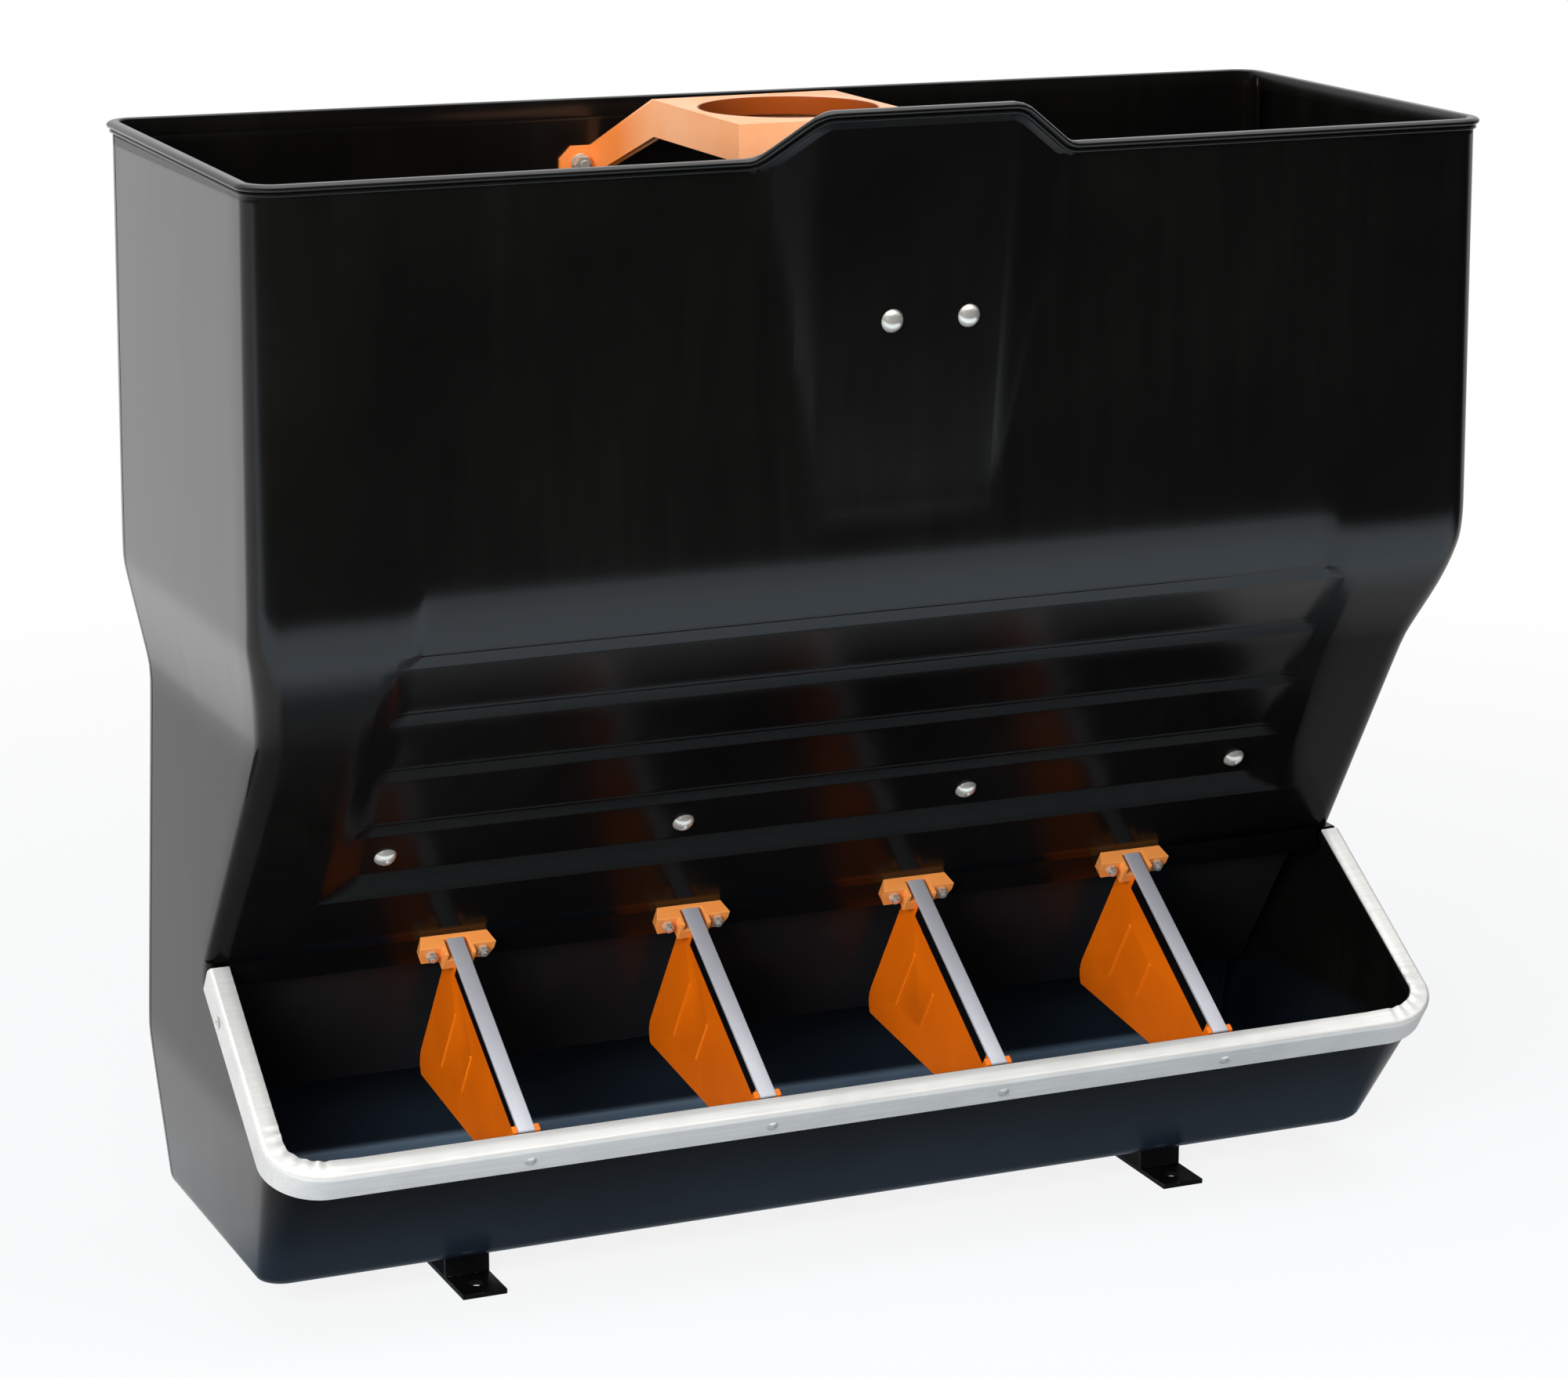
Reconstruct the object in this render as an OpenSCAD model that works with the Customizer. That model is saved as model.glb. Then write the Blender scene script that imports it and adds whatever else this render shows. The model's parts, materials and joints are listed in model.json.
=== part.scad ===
// Hopper feeder for pigs: a moulded hopper and trough with feeding spaces parted by dividers,
// a gate behind the sloping front that sets the feed, and a ring on top for the supply pipe.
// Axes: +X to the right, +Y to the back, +Z up. The floor is Z = 0.

/* [Hopper] */
// Width over the rolled rim
rim_w = 1000; // [900:10:1200]
// Depth over the rolled rim
rim_d = 380; // [360:5:440]
// Height of the rolled rim above the floor
rim_h = 878; // [850:1:960]
// Wall of the moulded shell
wall_t = 5; // [4:0.5:6]
// Diameter of the rolled rim
bead_d = 9; // [7:0.5:11]
// Radius of the hopper's upright front corners
corner_r = 40; // [30:1:50]
// Radius of the upright back corners
back_r = 30; // [20:1:40]
// Spread of each side from the rim down to the shoulder
flare = 4.5; // [0:0.5:8]

/* [Shoulder] */
// Height where the sides start to step in
shoulder_z = 545; // [530:1:560]
// Height where the step ends
waist_z = 457; // [440:1:475]
// Step of each side at the shoulder
waist_in = 19; // [10:1:24]
// Spread of each side from the waist down to the foot
foot_spread = 12; // [6:1:16]
// Height of the widest place of the trough
foot_z = 164; // [150:1:180]
// Draw-in of each side from there to the underside
toe_in = 15; // [8:1:20]

/* [Peak] */
// Rise of the front peak over the rim
peak_h = 36; // [20:1:40]
// Reach of the front peak ahead of the rim
peak_out = 32; // [20:1:45]
// Offset of the peak to the right of the middle
peak_x = 2; // [-10:1:10]
// Further offset of the places where the peak leaves the rim
peak_skew = 8; // [-12:1:12]
// Width of the peak's flat top
peak_w = 158; // [140:1:180]
// Width of the bulge's flat front at its foot
peak_foot_w = 144; // [120:1:160]
// Width of the peak where it leaves the rim
peak_base_w = 250; // [220:1:300]
// Share of the upright front that stays plain below the bulge
peak_foot_k = 0.22; // [0.14:0.01:0.34]

/* [Slope] */
// Height of the bend from the upright front to the slope
bend_z = 535; // [520:1:545]
// Lean of the slope from upright, and of the trough's mouth from level
tilt_a = 34; // [32:0.5:36]
// Height where the slope meets the mouth of the trough
lip_z = 264; // [255:1:275]
// Length of the slope's skirt below the mouth
skirt_l = 31; // [26:1:40]
// Thickness of the stiffened slope
slope_t = 16; // [15:0.5:20]

/* [Louvers] */
// Number of louver steps
louver_n = 4; // [2:1:4]
// Distance of the top step above the mouth, along the slope
louver_top = 316; // [304:1:320]
// Distance from step to step
louver_pitch = 61.6; // [52:0.2:62]
// Depth of the steps under the slope's face
louver_depth = 9; // [6:0.5:10]
// Relief of one step
louver_relief = 3.5; // [2:0.1:5]
// Height of one step's face
louver_face = 9.5; // [6:0.5:12]
// Width of the louvered panel at its floor
louver_w = 734; // [720:2:760]
// Width of each slanted end of the panel
louver_end = 34; // [25:1:45]
// Distance of the lower ledge's edge above the mouth
ledge_n = 58; // [52:1:64]
// Height of the lower ledge's face
ledge_face = 19; // [14:1:24]

/* [Trough] */
// Height of the underside above the floor
base_z = 26; // [20:1:34]
// Setback of the trough's bottom front edge behind the rim
toe_set = 112; // [104:1:120]
// Lean of the trough's front from upright
toe_a = 38.7; // [37:0.1:40]
// Radius of the trough's front corners
toe_r = 45; // [35:1:55]
// Radius of the bottom edges
base_r = 35; // [25:1:45]
// Width of the flange at the trough's lip
flange_w = 15; // [12:0.5:18]
// Thickness of that flange
flange_t = 8; // [6:0.5:10]
// Distance of the back seam from the back of the rim
seam_set = 28; // [24:1:34]
// Length of the lap inside the seam
lap_l = 16; // [10:1:24]

/* [Lip trim] */
// Sheet of the trim
trim_t = 1.5; // [1:0.1:2]
// Width of the trim's face
trim_w = 17; // [15:0.5:20]
// Height of the trim's outer leg
trim_leg = 23; // [18:1:28]
// Clearance between the shell and the outer leg
trim_gap = 1.5; // [1.2:0.1:2]

/* [Dividers] */
// Distance from divider to divider
divider_pitch = 196; // [180:1:210]
// Width of the steel bar
bar_w = 19; // [14:0.5:24]
// Thickness of the steel bar
bar_t = 8; // [6:0.5:10]
// Height of the bar's top over the mouth
bar_rise = 3; // [2:0.5:5]
// Thickness of the divider's sheet
panel_t = 5; // [4:0.5:7]
// Gap between the slope's skirt and the divider's sheet
panel_gap = 1.5; // [1:0.5:4]
// Reach of the divider's back corner below the mouth
panel_drop = 160; // [140:1:170]
// Width of the head block
block_w = 62; // [56:1:72]
// Height of the head block
block_h = 17.5; // [16:0.5:22]
// Thickness of the head block
block_t = 12.5; // [11:0.5:15]
// Width of the block's hub
hub_w = 25; // [24:0.5:28]
// Reach of the hub ahead of the slope
hub_t = 20; // [16:0.5:26]

/* [Feed gate] */
// Sheet of the gate
gate_t = 2; // [1.5:0.1:3]
// Gap between the slope's inner face and the gate
gate_gap = 1.5; // [1:0.1:2.5]
// Travel of the gate to each side of its middle
gate_travel = 20; // [12:1:22]
// Reach of the gate's lower edge below the mouth
gate_drop = 188; // [176:1:196]
// Reach of the gate's upper edge above the mouth
gate_rise = 250; // [230:1:262]
// Spacing of the screws that carry the gate
gate_screw_pitch = 242; // [220:1:252]
// Distance of those screws above the mouth
gate_screw_n = 97; // [92:1:102]
// Outer diameter of the bushes in the gate's slots
bush_d = 14; // [12:0.5:16]

/* [Adjuster] */
// Plate of the riser
riser_t = 4; // [3:0.5:6]
// Distance of the clamp below the rim
clamp_drop = 78; // [72:1:88]
// Distance of the clamp behind the upright front wall's face
clamp_set = 44; // [42:1:50]
// Diameter of the clamp knob
knob_d = 44; // [36:1:50]
// Offset of the adjuster to the right of the middle
adjuster_x = 16; // [-6:1:22]
// Spacing of the two screws of the clamp's bracket
bracket_screw_pitch = 62; // [56:1:70]
// Distance of those screws below the rim
bracket_drop = 122; // [116:1:130]
// Length of the hand grip
grip_l = 90; // [70:1:100]
// Diameter of the hand grip
grip_d = 24; // [20:1:28]

/* [Pipe bracket] */
// Bore for the supply pipe
pipe_d = 138; // [110:1:150]
// Distance of the bore behind the front of the rim
pipe_set = 215; // [205:1:225]
// Height of the ring plate over the rim
ring_rise = 9; // [4:1:14]
// Width of the ring plate
ring_w = 156; // [154:1:176]
// Depth of the ring plate
ring_d = 176; // [160:1:180]
// Depth of the ring's skirt
ring_skirt = 29; // [20:1:36]
// Wall of the ring bracket
ring_t = 4; // [3:0.5:6]
// Spacing of the two bolts on the back wall
leg_pitch = 228; // [222:1:250]
// Distance of those bolts below the rim
leg_drop = 47; // [42:1:60]

/* [Floor brackets] */
// Spacing of the two floor brackets
foot_pitch = 607; // [540:1:640]
// Width of a floor bracket
foot_w = 36; // [32:1:50]
// Sheet of a floor bracket
foot_t = 4; // [3:0.5:5]
// Setback of the bracket's front end behind the rim
foot_set = 99; // [92:1:106]
// Length of the bracket's tongue
tongue_l = 41; // [36:1:48]
// Distance of the bracket's back end from the back of the rim
foot_back = 80; // [70:1:100]
// Diameter of the hole for the floor anchor
anchor_d = 11; // [9:0.5:13]

/* [Fasteners] */
// Shank of the large screws
bolt_d = 8; // [6:0.5:8]
// Shank of the small screws and rivets
screw_d = 5; // [4:0.5:6]
// Clearance of a hole over its shank, on the diameter
hole_gap = 0.6; // [0.4:0.1:1]
// Diameter of the large domed heads
dome_d = 18; // [16:0.5:20]

/* [Hidden] */
$fn = 48;

// Reach of a cutter past the solid that it cuts
over = 30;
// Gap between curved faces that only lie near each other
near = 0.3;
// Running clearance of a turning bore, on the diameter
running = 0.1;
// Segments of one rounded corner of the shell
corner_n = 5;
// Softness of the bend over the slope, and of the creases in the sides
bend_soft = 16;
crease_soft = 14;

bead_r = bead_d / 2;
// The origin is midway between the peak's front and the back of the rim
front_y = -(rim_d - peak_out) / 2;
back_y = front_y + rim_d - bead_r;
wall_face = front_y + bead_r;
wall_top = rim_h - bead_r;
seam_y = front_y + rim_d - seam_set;
peak_foot_z = bend_z + peak_foot_k * (rim_h - bend_z);
clamp_z = rim_h - clamp_drop;
bracket_screw_z = rim_h - bracket_drop;
foot_l = rim_d - foot_set - tongue_l - foot_back;

// Half width of the shell, as five straight stretches with softened creases
rim_half = rim_w / 2 - bead_r;
k_flare = flare / (rim_h - shoulder_z);
k_step = waist_in / (shoulder_z - waist_z);
k_foot = foot_spread / (waist_z - foot_z);
k_toe = toe_in / (foot_z - base_z);
function soft(x, r) = (x + sqrt(x * x + r * r)) / 2;
function limit(x) = max(0, min(1, x));
function half_w(z) = rim_half + k_flare * (rim_h - z)
    - (k_flare + k_step) * soft(shoulder_z - z, crease_soft)
    + (k_step + k_foot) * soft(waist_z - z, crease_soft)
    - (k_foot + k_toe) * soft(foot_z - z, crease_soft);

// Front face of the hopper and of the trough at a height
function wall_y(z) = wall_face + tan(tilt_a) * soft(bend_z - z, bend_soft);
function toe_y(z) = front_y + toe_set - tan(toe_a) * (z - base_z);
lip_y = wall_y(lip_z);

// The slope's own frame: Y into the hopper, Z up along the slope, the mouth of the trough at Z = 0
module slope() translate([0, lip_y, lip_z]) rotate([tilt_a, 0, 0]) children();
function slope_point(y, z) = [
    lip_y + y * cos(tilt_a) - z * sin(tilt_a),
    lip_z + y * sin(tilt_a) + z * cos(tilt_a)
];

// Distance from the slope to the trough's front corner, along the mouth
lip_l = (lip_y - toe_y(lip_z)) / (cos(tilt_a) + tan(toe_a) * sin(tilt_a));
// The trough's round corner as the mouth's plane cuts it
lip_ry = toe_r / (cos(tilt_a) * (1 + tan(toe_a) * tan(tilt_a)));
// Half widths of the mouth at the slope and where its round corners start
lip_half_back = half_w(lip_z);
lip_half_front = half_w(lip_z - (lip_l - lip_ry) * sin(tilt_a));

// Heights of the shell's sections above the bottom rounding
trough_levels = [foot_z - 60, foot_z - 25, foot_z - 10, foot_z, foot_z + 10, foot_z + 30];
hopper_levels = [
    for (z = [lip_z, (lip_z + waist_z) / 2, waist_z - 30, waist_z - 12, waist_z, waist_z + 12,
              waist_z + 30, bend_z - 24, bend_z - 8]) z,
    for (z = [shoulder_z + 2, shoulder_z + 14, shoulder_z + 30, shoulder_z + 60]) z
];

// One rounded section of the shell, with its points anticlockwise from above
function section(z, half, y_front, y_back, r_front, r_back) = [
    for (k = [0:3])
        let (front = k == 0 || k == 3,
             r = front ? r_front : r_back,
             cx = (k < 2 ? 1 : -1) * (half - r),
             cy = front ? y_front + r : y_back - r)
            for (i = [0:corner_n])
                let (a = 90 * (k - 1) + 90 * i / corner_n)
                    [cx + r * cos(a), cy + r * sin(a), z]
];

// Sections of the shell, drawn in by t from its outer face, up to the height of the top
function base_section(t, a) =
    let (r = base_r - t,
         z = base_z + t + r * (1 - cos(a)),
         in = t + r * (1 - sin(a)))
    section(z, half_w(z) - in, toe_y(z) + in / cos(toe_a), back_y - in,
            toe_r - 0.7 * in, max(back_r - in, 4));
function trough_section(t, z) =
    section(z, half_w(z) - t, toe_y(z) + t / cos(toe_a), back_y - t, toe_r - 0.7 * t, back_r - t);
function hopper_section(t, z) =
    let (below = limit((bend_z - z) / (bend_z - lip_z)),
         lean = limit((bend_z + bend_soft - z) / (2 * bend_soft)),
         r = corner_r + (18 - corner_r) * below)
    section(z, half_w(z) - t, wall_y(z) + t * (1 + lean * (1 / cos(tilt_a) - 1)), back_y - t,
            r - t, back_r - t);
function shell_sections(t, top) = [
    for (a = [0:30:90]) base_section(t, a),
    for (z = trough_levels) trough_section(t, z),
    trough_section(t, lip_z - 1 - t / 2),
    for (z = hopper_levels) hopper_section(t, z),
    hopper_section(t, top)
];

// Skins a stack of sections into a solid
module skin(rings) {
    n = len(rings[0]);
    m = len(rings);
    points = [for (ring = rings) for (p = ring) p];
    sides = [
        for (i = [0:m - 2])
            for (j = [0:n - 1])
                let (a = i * n + j, b = i * n + (j + 1) % n, c = b + n, d = a + n)
                    for (f = [[a, d, c], [a, c, b]]) f
    ];
    bottom = [for (j = [0:n - 1]) j];
    top = [for (j = [n - 1:-1:0]) (m - 1) * n + j];
    polyhedron(points, concat([bottom], sides, [top]));
}

module boot(t, top) skin(shell_sections(t, top));

// The bulge under the peak, drawn in by t; stretch runs its faces on past the peak's edges
module bulge(t, stretch, back) {
    foot = [peak_foot_w / 2 - 0.3 * t, wall_face + t, peak_foot_z];
    rim = [peak_base_w / 2 - 0.3 * t, wall_face + t, wall_top];
    tip = [peak_w / 2 - 0.3 * t, wall_face - peak_out + t, wall_top + peak_h];
    rim_end = foot + stretch * (rim - foot);
    tip_end = foot + stretch * (tip - foot);
    corners = [[foot, 0], [rim_end, stretch * peak_skew], [tip_end, 0]];
    front = [for (c = corners) for (s = [-1, 1]) [peak_x + c[1] + s * c[0][0], c[0][1], c[0][2]]];
    behind = [for (p = front) [p[0], back, p[2]]];
    polyhedron(concat(front, behind), [
        [0, 4, 5, 1], [1, 5, 3], [0, 2, 4], [7, 9, 11, 10, 8, 6], [0, 1, 7, 6],
        [1, 3, 9, 7], [6, 8, 2, 0], [3, 5, 11, 9], [8, 10, 4, 2], [4, 10, 11, 5]
    ]);
}

// The rolled rim: a closed tube round the top edge and over the peak
function rim_path() = concat(
    section(wall_top, rim_half, wall_face, back_y, corner_r, back_r),
    [for (p = [[peak_skew - peak_base_w / 2, 0, 0], [-peak_w / 2, peak_out, peak_h],
               [peak_w / 2, peak_out, peak_h], [peak_skew + peak_base_w / 2, 0, 0]])
        [peak_x + p[0], wall_face - p[1], wall_top + p[2]]]
);
module rim_bead() {
    path = rim_path();
    m = len(path);
    n = 8;
    points = [
        for (i = [0:m - 1])
            let (run = path[(i + 1) % m] - path[(i + m - 1) % m],
                 along = run / norm(run),
                 out = cross(along, [0, 0, 1]),
                 side = out / norm(out),
                 up = cross(side, along))
                for (k = [0:n - 1])
                    path[i] + bead_r * (cos(360 * k / n) * side + sin(360 * k / n) * up)
    ];
    faces = [
        for (i = [0:m - 1])
            for (k = [0:n - 1])
                let (a = i * n + k, b = i * n + (k + 1) % n,
                     c = ((i + 1) % m) * n + (k + 1) % n, d = ((i + 1) % m) * n + k)
                    for (f = [[a, c, d], [a, b, c]]) f
    ];
    polyhedron(points, faces);
}

// Outline of the trough's mouth in the slope's frame, drawn in by t, from its back end at y_end
function mouth_outline(t, y_end) =
    let (arc = [
        for (i = [0:8])
            let (a = 90 * i / 8)
                [lip_half_front - toe_r + (toe_r - t) * cos(a),
                 -(lip_l - lip_ry) - (lip_ry - t) * sin(a)]
    ])
    concat(
        [[lip_half_back - t, y_end]],
        arc,
        [for (i = [len(arc) - 1:-1:0]) [-arc[i][0], arc[i][1]]],
        [[-(lip_half_back - t), y_end]]
    );

// Everything above the mouth and ahead of the slope, in the slope's frame
module mouth_cut() {
    reach = rim_d + peak_out + over;
    slope() rotate([90, 0, 90]) translate([0, 0, -rim_w])
        linear_extrude(2 * rim_w)
            polygon([[0, 0], [-reach, 0], [-reach, reach * tan(tilt_a + 1)]]);
}

module lip_flange() {
    y_end = -2;
    slope() translate([0, 0, -flange_t]) linear_extrude(flange_t) difference() {
        polygon(mouth_outline(wall_t / 2, y_end));
        polygon(mouth_outline(flange_w, y_end + over));
    }
}

// Zone of the stiffened slope and of its skirt below the mouth, which the cavity leaves standing
slope_l = (bend_z - lip_z) / cos(tilt_a);
module slope_zone() {
    slope() rotate([90, 0, 90]) translate([0, 0, -rim_w / 2]) linear_extrude(rim_w) polygon([
        [0, -skirt_l], [slope_t, -skirt_l], [slope_t, slope_l - 6],
        [slope_t + 8, slope_l + 30], [-over, slope_l + 30], [-over, 1], [0, 0]
    ]);
}

// Profile of the louvered panel in the slope's frame, as [depth, distance up the slope]
ledge_top_n = ledge_n + ledge_face;
function louver_at(i) = louver_top - i * louver_pitch;
entry_z = bend_z + 33;
entry_n = (lip_y - wall_face) * sin(tilt_a) + (entry_z - lip_z) * cos(tilt_a);
entry_d = -(lip_y - wall_face) * cos(tilt_a) + (entry_z - lip_z) * sin(tilt_a);
louver_profile = concat(
    [[-over, entry_n + over], [entry_d, entry_n]],
    [for (i = [0:louver_n - 1]) for (p = [
        [louver_depth, louver_at(i)],
        [louver_depth - louver_relief, louver_at(i) - louver_face]
    ]) p],
    [[louver_depth, ledge_top_n], [0, ledge_n], [-over, ledge_n - over]]
);
module louver_cut() {
    half_in = louver_w / 2;
    k_end = louver_end / louver_depth;
    slope() intersection() {
        rotate([90, 0, 90]) translate([0, 0, -rim_w / 2])
            linear_extrude(rim_w) polygon(louver_profile);
        linear_extrude(2 * slope_l) polygon([
            [half_in + k_end * (louver_depth + over), -over], [half_in, louver_depth],
            [half_in, entry_d + over], [-half_in, entry_d + over],
            [-half_in, louver_depth], [-half_in - k_end * (louver_depth + over), -over]
        ]);
    }
}

// Seats and holes of the screws that carry the gate
gate_screw_xs = [for (i = [0:3]) (i - 1.5) * gate_screw_pitch];
seat_d = louver_depth - louver_relief / 2;
module at_gate_screws()
    slope() for (x = gate_screw_xs) translate([x, 0, gate_screw_n]) rotate([90, 0, 0]) children();

// Places of the dividers' screws on the slope's skirt
divider_xs = [for (i = [0:3]) (i - 1.5) * divider_pitch];
divider_screw_x = block_w / 2 - 10;
divider_screw_n = bar_rise - 7;
module at_divider_screws()
    slope() for (x = divider_xs) for (s = [-1, 1])
        translate([x + s * divider_screw_x, 0, divider_screw_n]) rotate([90, 0, 0]) children();

// Frame on the bulge's flat front, with Z straight out of it
bulge_lean = atan(peak_out / (wall_top + peak_h - peak_foot_z));
bracket_y = wall_face - (bracket_screw_z - peak_foot_z) * tan(bulge_lean);
module bulge_front()
    translate([adjuster_x, bracket_y, bracket_screw_z]) rotate([90 + bulge_lean, 0, 0]) children();
module at_bracket_screws()
    bulge_front() for (s = [-1, 1]) translate([s * bracket_screw_pitch / 2, 0, 0]) children();

// Places of the pipe bracket's bolts on the back wall, with Z straight out of the hopper
module at_pipe_bolts()
    for (s = [-1, 1])
        translate([s * leg_pitch / 2, back_y, rim_h - leg_drop]) rotate([-90, 0, 0]) children();

// Places of the bolts between the trough's floor and the floor brackets
foot_front_y = front_y + foot_set + tongue_l;
foot_bolt_inset = 30;
module at_foot_bolts()
    for (s = [-1, 1]) for (y = [foot_front_y + foot_bolt_inset, foot_front_y + foot_l - foot_bolt_inset])
        translate([s * foot_pitch / 2, y, base_z + wall_t]) children();

// Places of the rivets in the lip trim, with Z straight out of its leg
rivet_tail_d = 1.3 * screw_d;
rivet_n = -(flange_t + rivet_tail_d / 2 + 0.6);
side_rivet_y = -45;
leg_out = trim_gap + trim_t;
rivet_l = leg_out + wall_t + 4;
module at_lip_rivets() {
    slope() for (x = divider_xs)
        translate([x, -(lip_l + leg_out), rivet_n]) rotate([90, 0, 0]) children();
    slope() for (s = [-1, 1])
        translate([s * (lip_half_at(side_rivet_y) + leg_out), side_rivet_y, rivet_n])
            rotate([0, s * 90, 0]) children();
}
function lip_half_at(y) =
    lip_half_back + (lip_half_front - lip_half_back) * -y / (lip_l - lip_ry);

// Fastener shapes: heads and nuts stand on Z = 0, shanks run down from it
module dome(d, h) {
    r = (d * d / 4 + h * h) / (2 * h);
    intersection() {
        translate([0, 0, h - r]) sphere(r, $fn = 64);
        cylinder(d = d, h = h);
    }
}
module dome_bolt(head, head_h, shank, length) {
    dome(head, head_h);
    translate([0, 0, -length]) cylinder(d = shank, h = length + head_h / 2);
}
module hex_nut(shank, h) difference() {
    cylinder(d = 1.85 * shank, h = h, $fn = 6);
    translate([0, 0, -1]) cylinder(d = shank + hole_gap, h = h + 2);
}
module washer(d, shank, h) difference() {
    cylinder(d = d, h = h);
    translate([0, 0, -1]) cylinder(d = shank + hole_gap, h = h + 2);
}
module hole(shank, reach) translate([0, 0, -reach]) cylinder(d = shank + hole_gap, h = 2 * reach);

// Shell
module shell_holes() {
    at_gate_screws() {
        hole(bolt_d, slope_t + over);
        translate([0, 0, -seat_d]) cylinder(d = dome_d + 2, h = seat_d + over);
    }
    at_divider_screws() {
        hole(screw_d, slope_t + over);
        translate([0, 0, -slope_t - 0.01])
            cylinder(d1 = 2 * screw_d + 2 * hole_gap, d2 = screw_d, h = screw_d / 2 + hole_gap);
    }
    at_bracket_screws() hole(bolt_d, wall_t + 8);
    at_pipe_bolts() hole(bolt_d, wall_t + 8);
    at_foot_bolts() hole(bolt_d, wall_t + 4);
    at_lip_rivets() hole(screw_d, flange_w + leg_out);
}
module cavity() {
    difference() {
        boot(wall_t, rim_h + over);
        slope_zone();
    }
    bulge(wall_t, 1.15, wall_face + 3 * wall_t);
}
module shell() difference() {
    union() {
        difference() {
            union() {
                boot(0, wall_top);
                bulge(0, 1, wall_face + wall_t - 1);
            }
            cavity();
            mouth_cut();
        }
        rim_bead();
        lip_flange();
    }
    louver_cut();
    shell_holes();
}
module behind_seam(y) translate([-rim_w, y, -over]) cube([2 * rim_w, rim_d, 2 * rim_h]);
module front_shell() color([0.09, 0.09, 0.1]) difference() {
    shell();
    behind_seam(seam_y);
}
module seam_band(t, y, l) intersection() {
    boot(t, wall_top - bead_d);
    translate([-rim_w, y, -over]) cube([2 * rim_w, l, 2 * rim_h]);
}
module rear_panel() color([0.09, 0.09, 0.1]) {
    lap_t = 3;
    root_l = 4;
    intersection() {
        shell();
        behind_seam(seam_y);
    }
    difference() {
        union() {
            seam_band(wall_t + near, seam_y - lap_l, lap_l + root_l);
            seam_band(wall_t - 1, seam_y, root_l);
        }
        boot(wall_t + near + lap_t, rim_h);
    }
}

// Lip trim
module lip_trim() color([0.78, 0.77, 0.74]) {
    y_end = -4;
    difference() {
        slope() {
            linear_extrude(trim_t) difference() {
                polygon(mouth_outline(-leg_out, y_end));
                polygon(mouth_outline(trim_w - leg_out, y_end + over));
            }
            translate([0, 0, -trim_leg]) linear_extrude(trim_leg + trim_t) difference() {
                polygon(mouth_outline(-leg_out, y_end));
                polygon(mouth_outline(-trim_gap, y_end + over));
            }
        }
        at_lip_rivets() hole(screw_d, leg_out + 4);
    }
}
module lip_rivets() color([0.75, 0.75, 0.74])
    at_lip_rivets() {
        dome_bolt(2 * screw_d, 2, screw_d, rivet_l);
        translate([0, 0, -rivet_l]) cylinder(d = rivet_tail_d, h = 2);
    }

// Dividers
bar_under = bar_rise - bar_t;
bar_end = lip_l - trim_w + leg_out - 1;
bar_seat = 4;
clip_l = 12;
module divider_panel(i) color([0.8, 0.38, 0.02]) slope() translate([divider_xs[i], 0, 0]) {
    corner = 22;
    rib = 1;
    front_y = -(bar_end - 4);
    bottom_k = 0.5;
    back = -panel_gap;
    block_low = bar_rise - block_h;
    outline = concat(
        [[front_y, bar_under], [front_y, -panel_drop - bottom_k * front_y]],
        [for (a = [-60:15:0]) [back - corner + corner * cos(a), -panel_drop + corner + corner * sin(a)]],
        [[back, block_low], [-hub_t, block_low], [-hub_t, bar_under]]
    );
    rotate([90, 0, 90]) translate([0, 0, -panel_t / 2]) linear_extrude(panel_t) polygon(outline);
    for (d = [42, 84])
        translate([-panel_t / 2 - rib, back - d, -panel_drop + 30 + bottom_k * d])
            cube([panel_t + 2 * rib, 2.5, panel_drop - 75 - bottom_k * d]);
    foot_w = bar_w + 9;
    translate([-foot_w / 2, -bar_end, bar_under - 10]) cube([foot_w, clip_l, 10]);
    for (s = [-1, 1]) translate([s * (bar_w / 2 + 2.5) - 2, -bar_end, bar_under - 1])
        cube([4, clip_l, bar_t + 2.5]);
}
module divider_block(i) color([0.95, 0.5, 0.12])
    slope() translate([divider_xs[i], 0, 0]) difference() {
        bevel = 4;
        low = bar_rise - block_h;
        half = block_w / 2;
        union() {
            intersection() {
                rotate([90, 0, 0]) linear_extrude(block_t) polygon([
                    [-half, bar_rise], [half, bar_rise], [half, low + 10], [half - bevel, low],
                    [-half + bevel, low], [-half, low + 10]
                ]);
                translate([0, 0, low - 1]) linear_extrude(block_h + 2) polygon([
                    [-half + bevel, 0], [half - bevel, 0], [half, -block_t], [-half, -block_t]
                ]);
            }
            translate([-hub_w / 2, -hub_t, low]) cube([hub_w, hub_t, block_h]);
        }
        translate([-bar_w / 2, -hub_t - 1, bar_under]) cube([bar_w, hub_t + 1 - bar_seat, bar_t + 1]);
        for (s = [-1, 1]) translate([s * divider_screw_x, 0, divider_screw_n])
            rotate([90, 0, 0]) hole(screw_d, block_t + 1);
    }
module divider_bar(i) color([0.55, 0.55, 0.58])
    slope() translate([divider_xs[i] - bar_w / 2, -bar_end, bar_under])
        cube([bar_w, bar_end - bar_seat, bar_t]);
module divider_screws() color([0.75, 0.75, 0.74]) at_divider_screws() {
    translate([0, 0, -slope_t]) cylinder(d = screw_d, h = slope_t + block_t + screw_d + 2);
    translate([0, 0, -slope_t]) cylinder(d1 = 2 * screw_d, d2 = screw_d, h = screw_d / 2);
}
module divider_nuts() color([0.75, 0.75, 0.74])
    at_divider_screws() translate([0, 0, block_t]) hex_nut(screw_d, screw_d);

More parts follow.
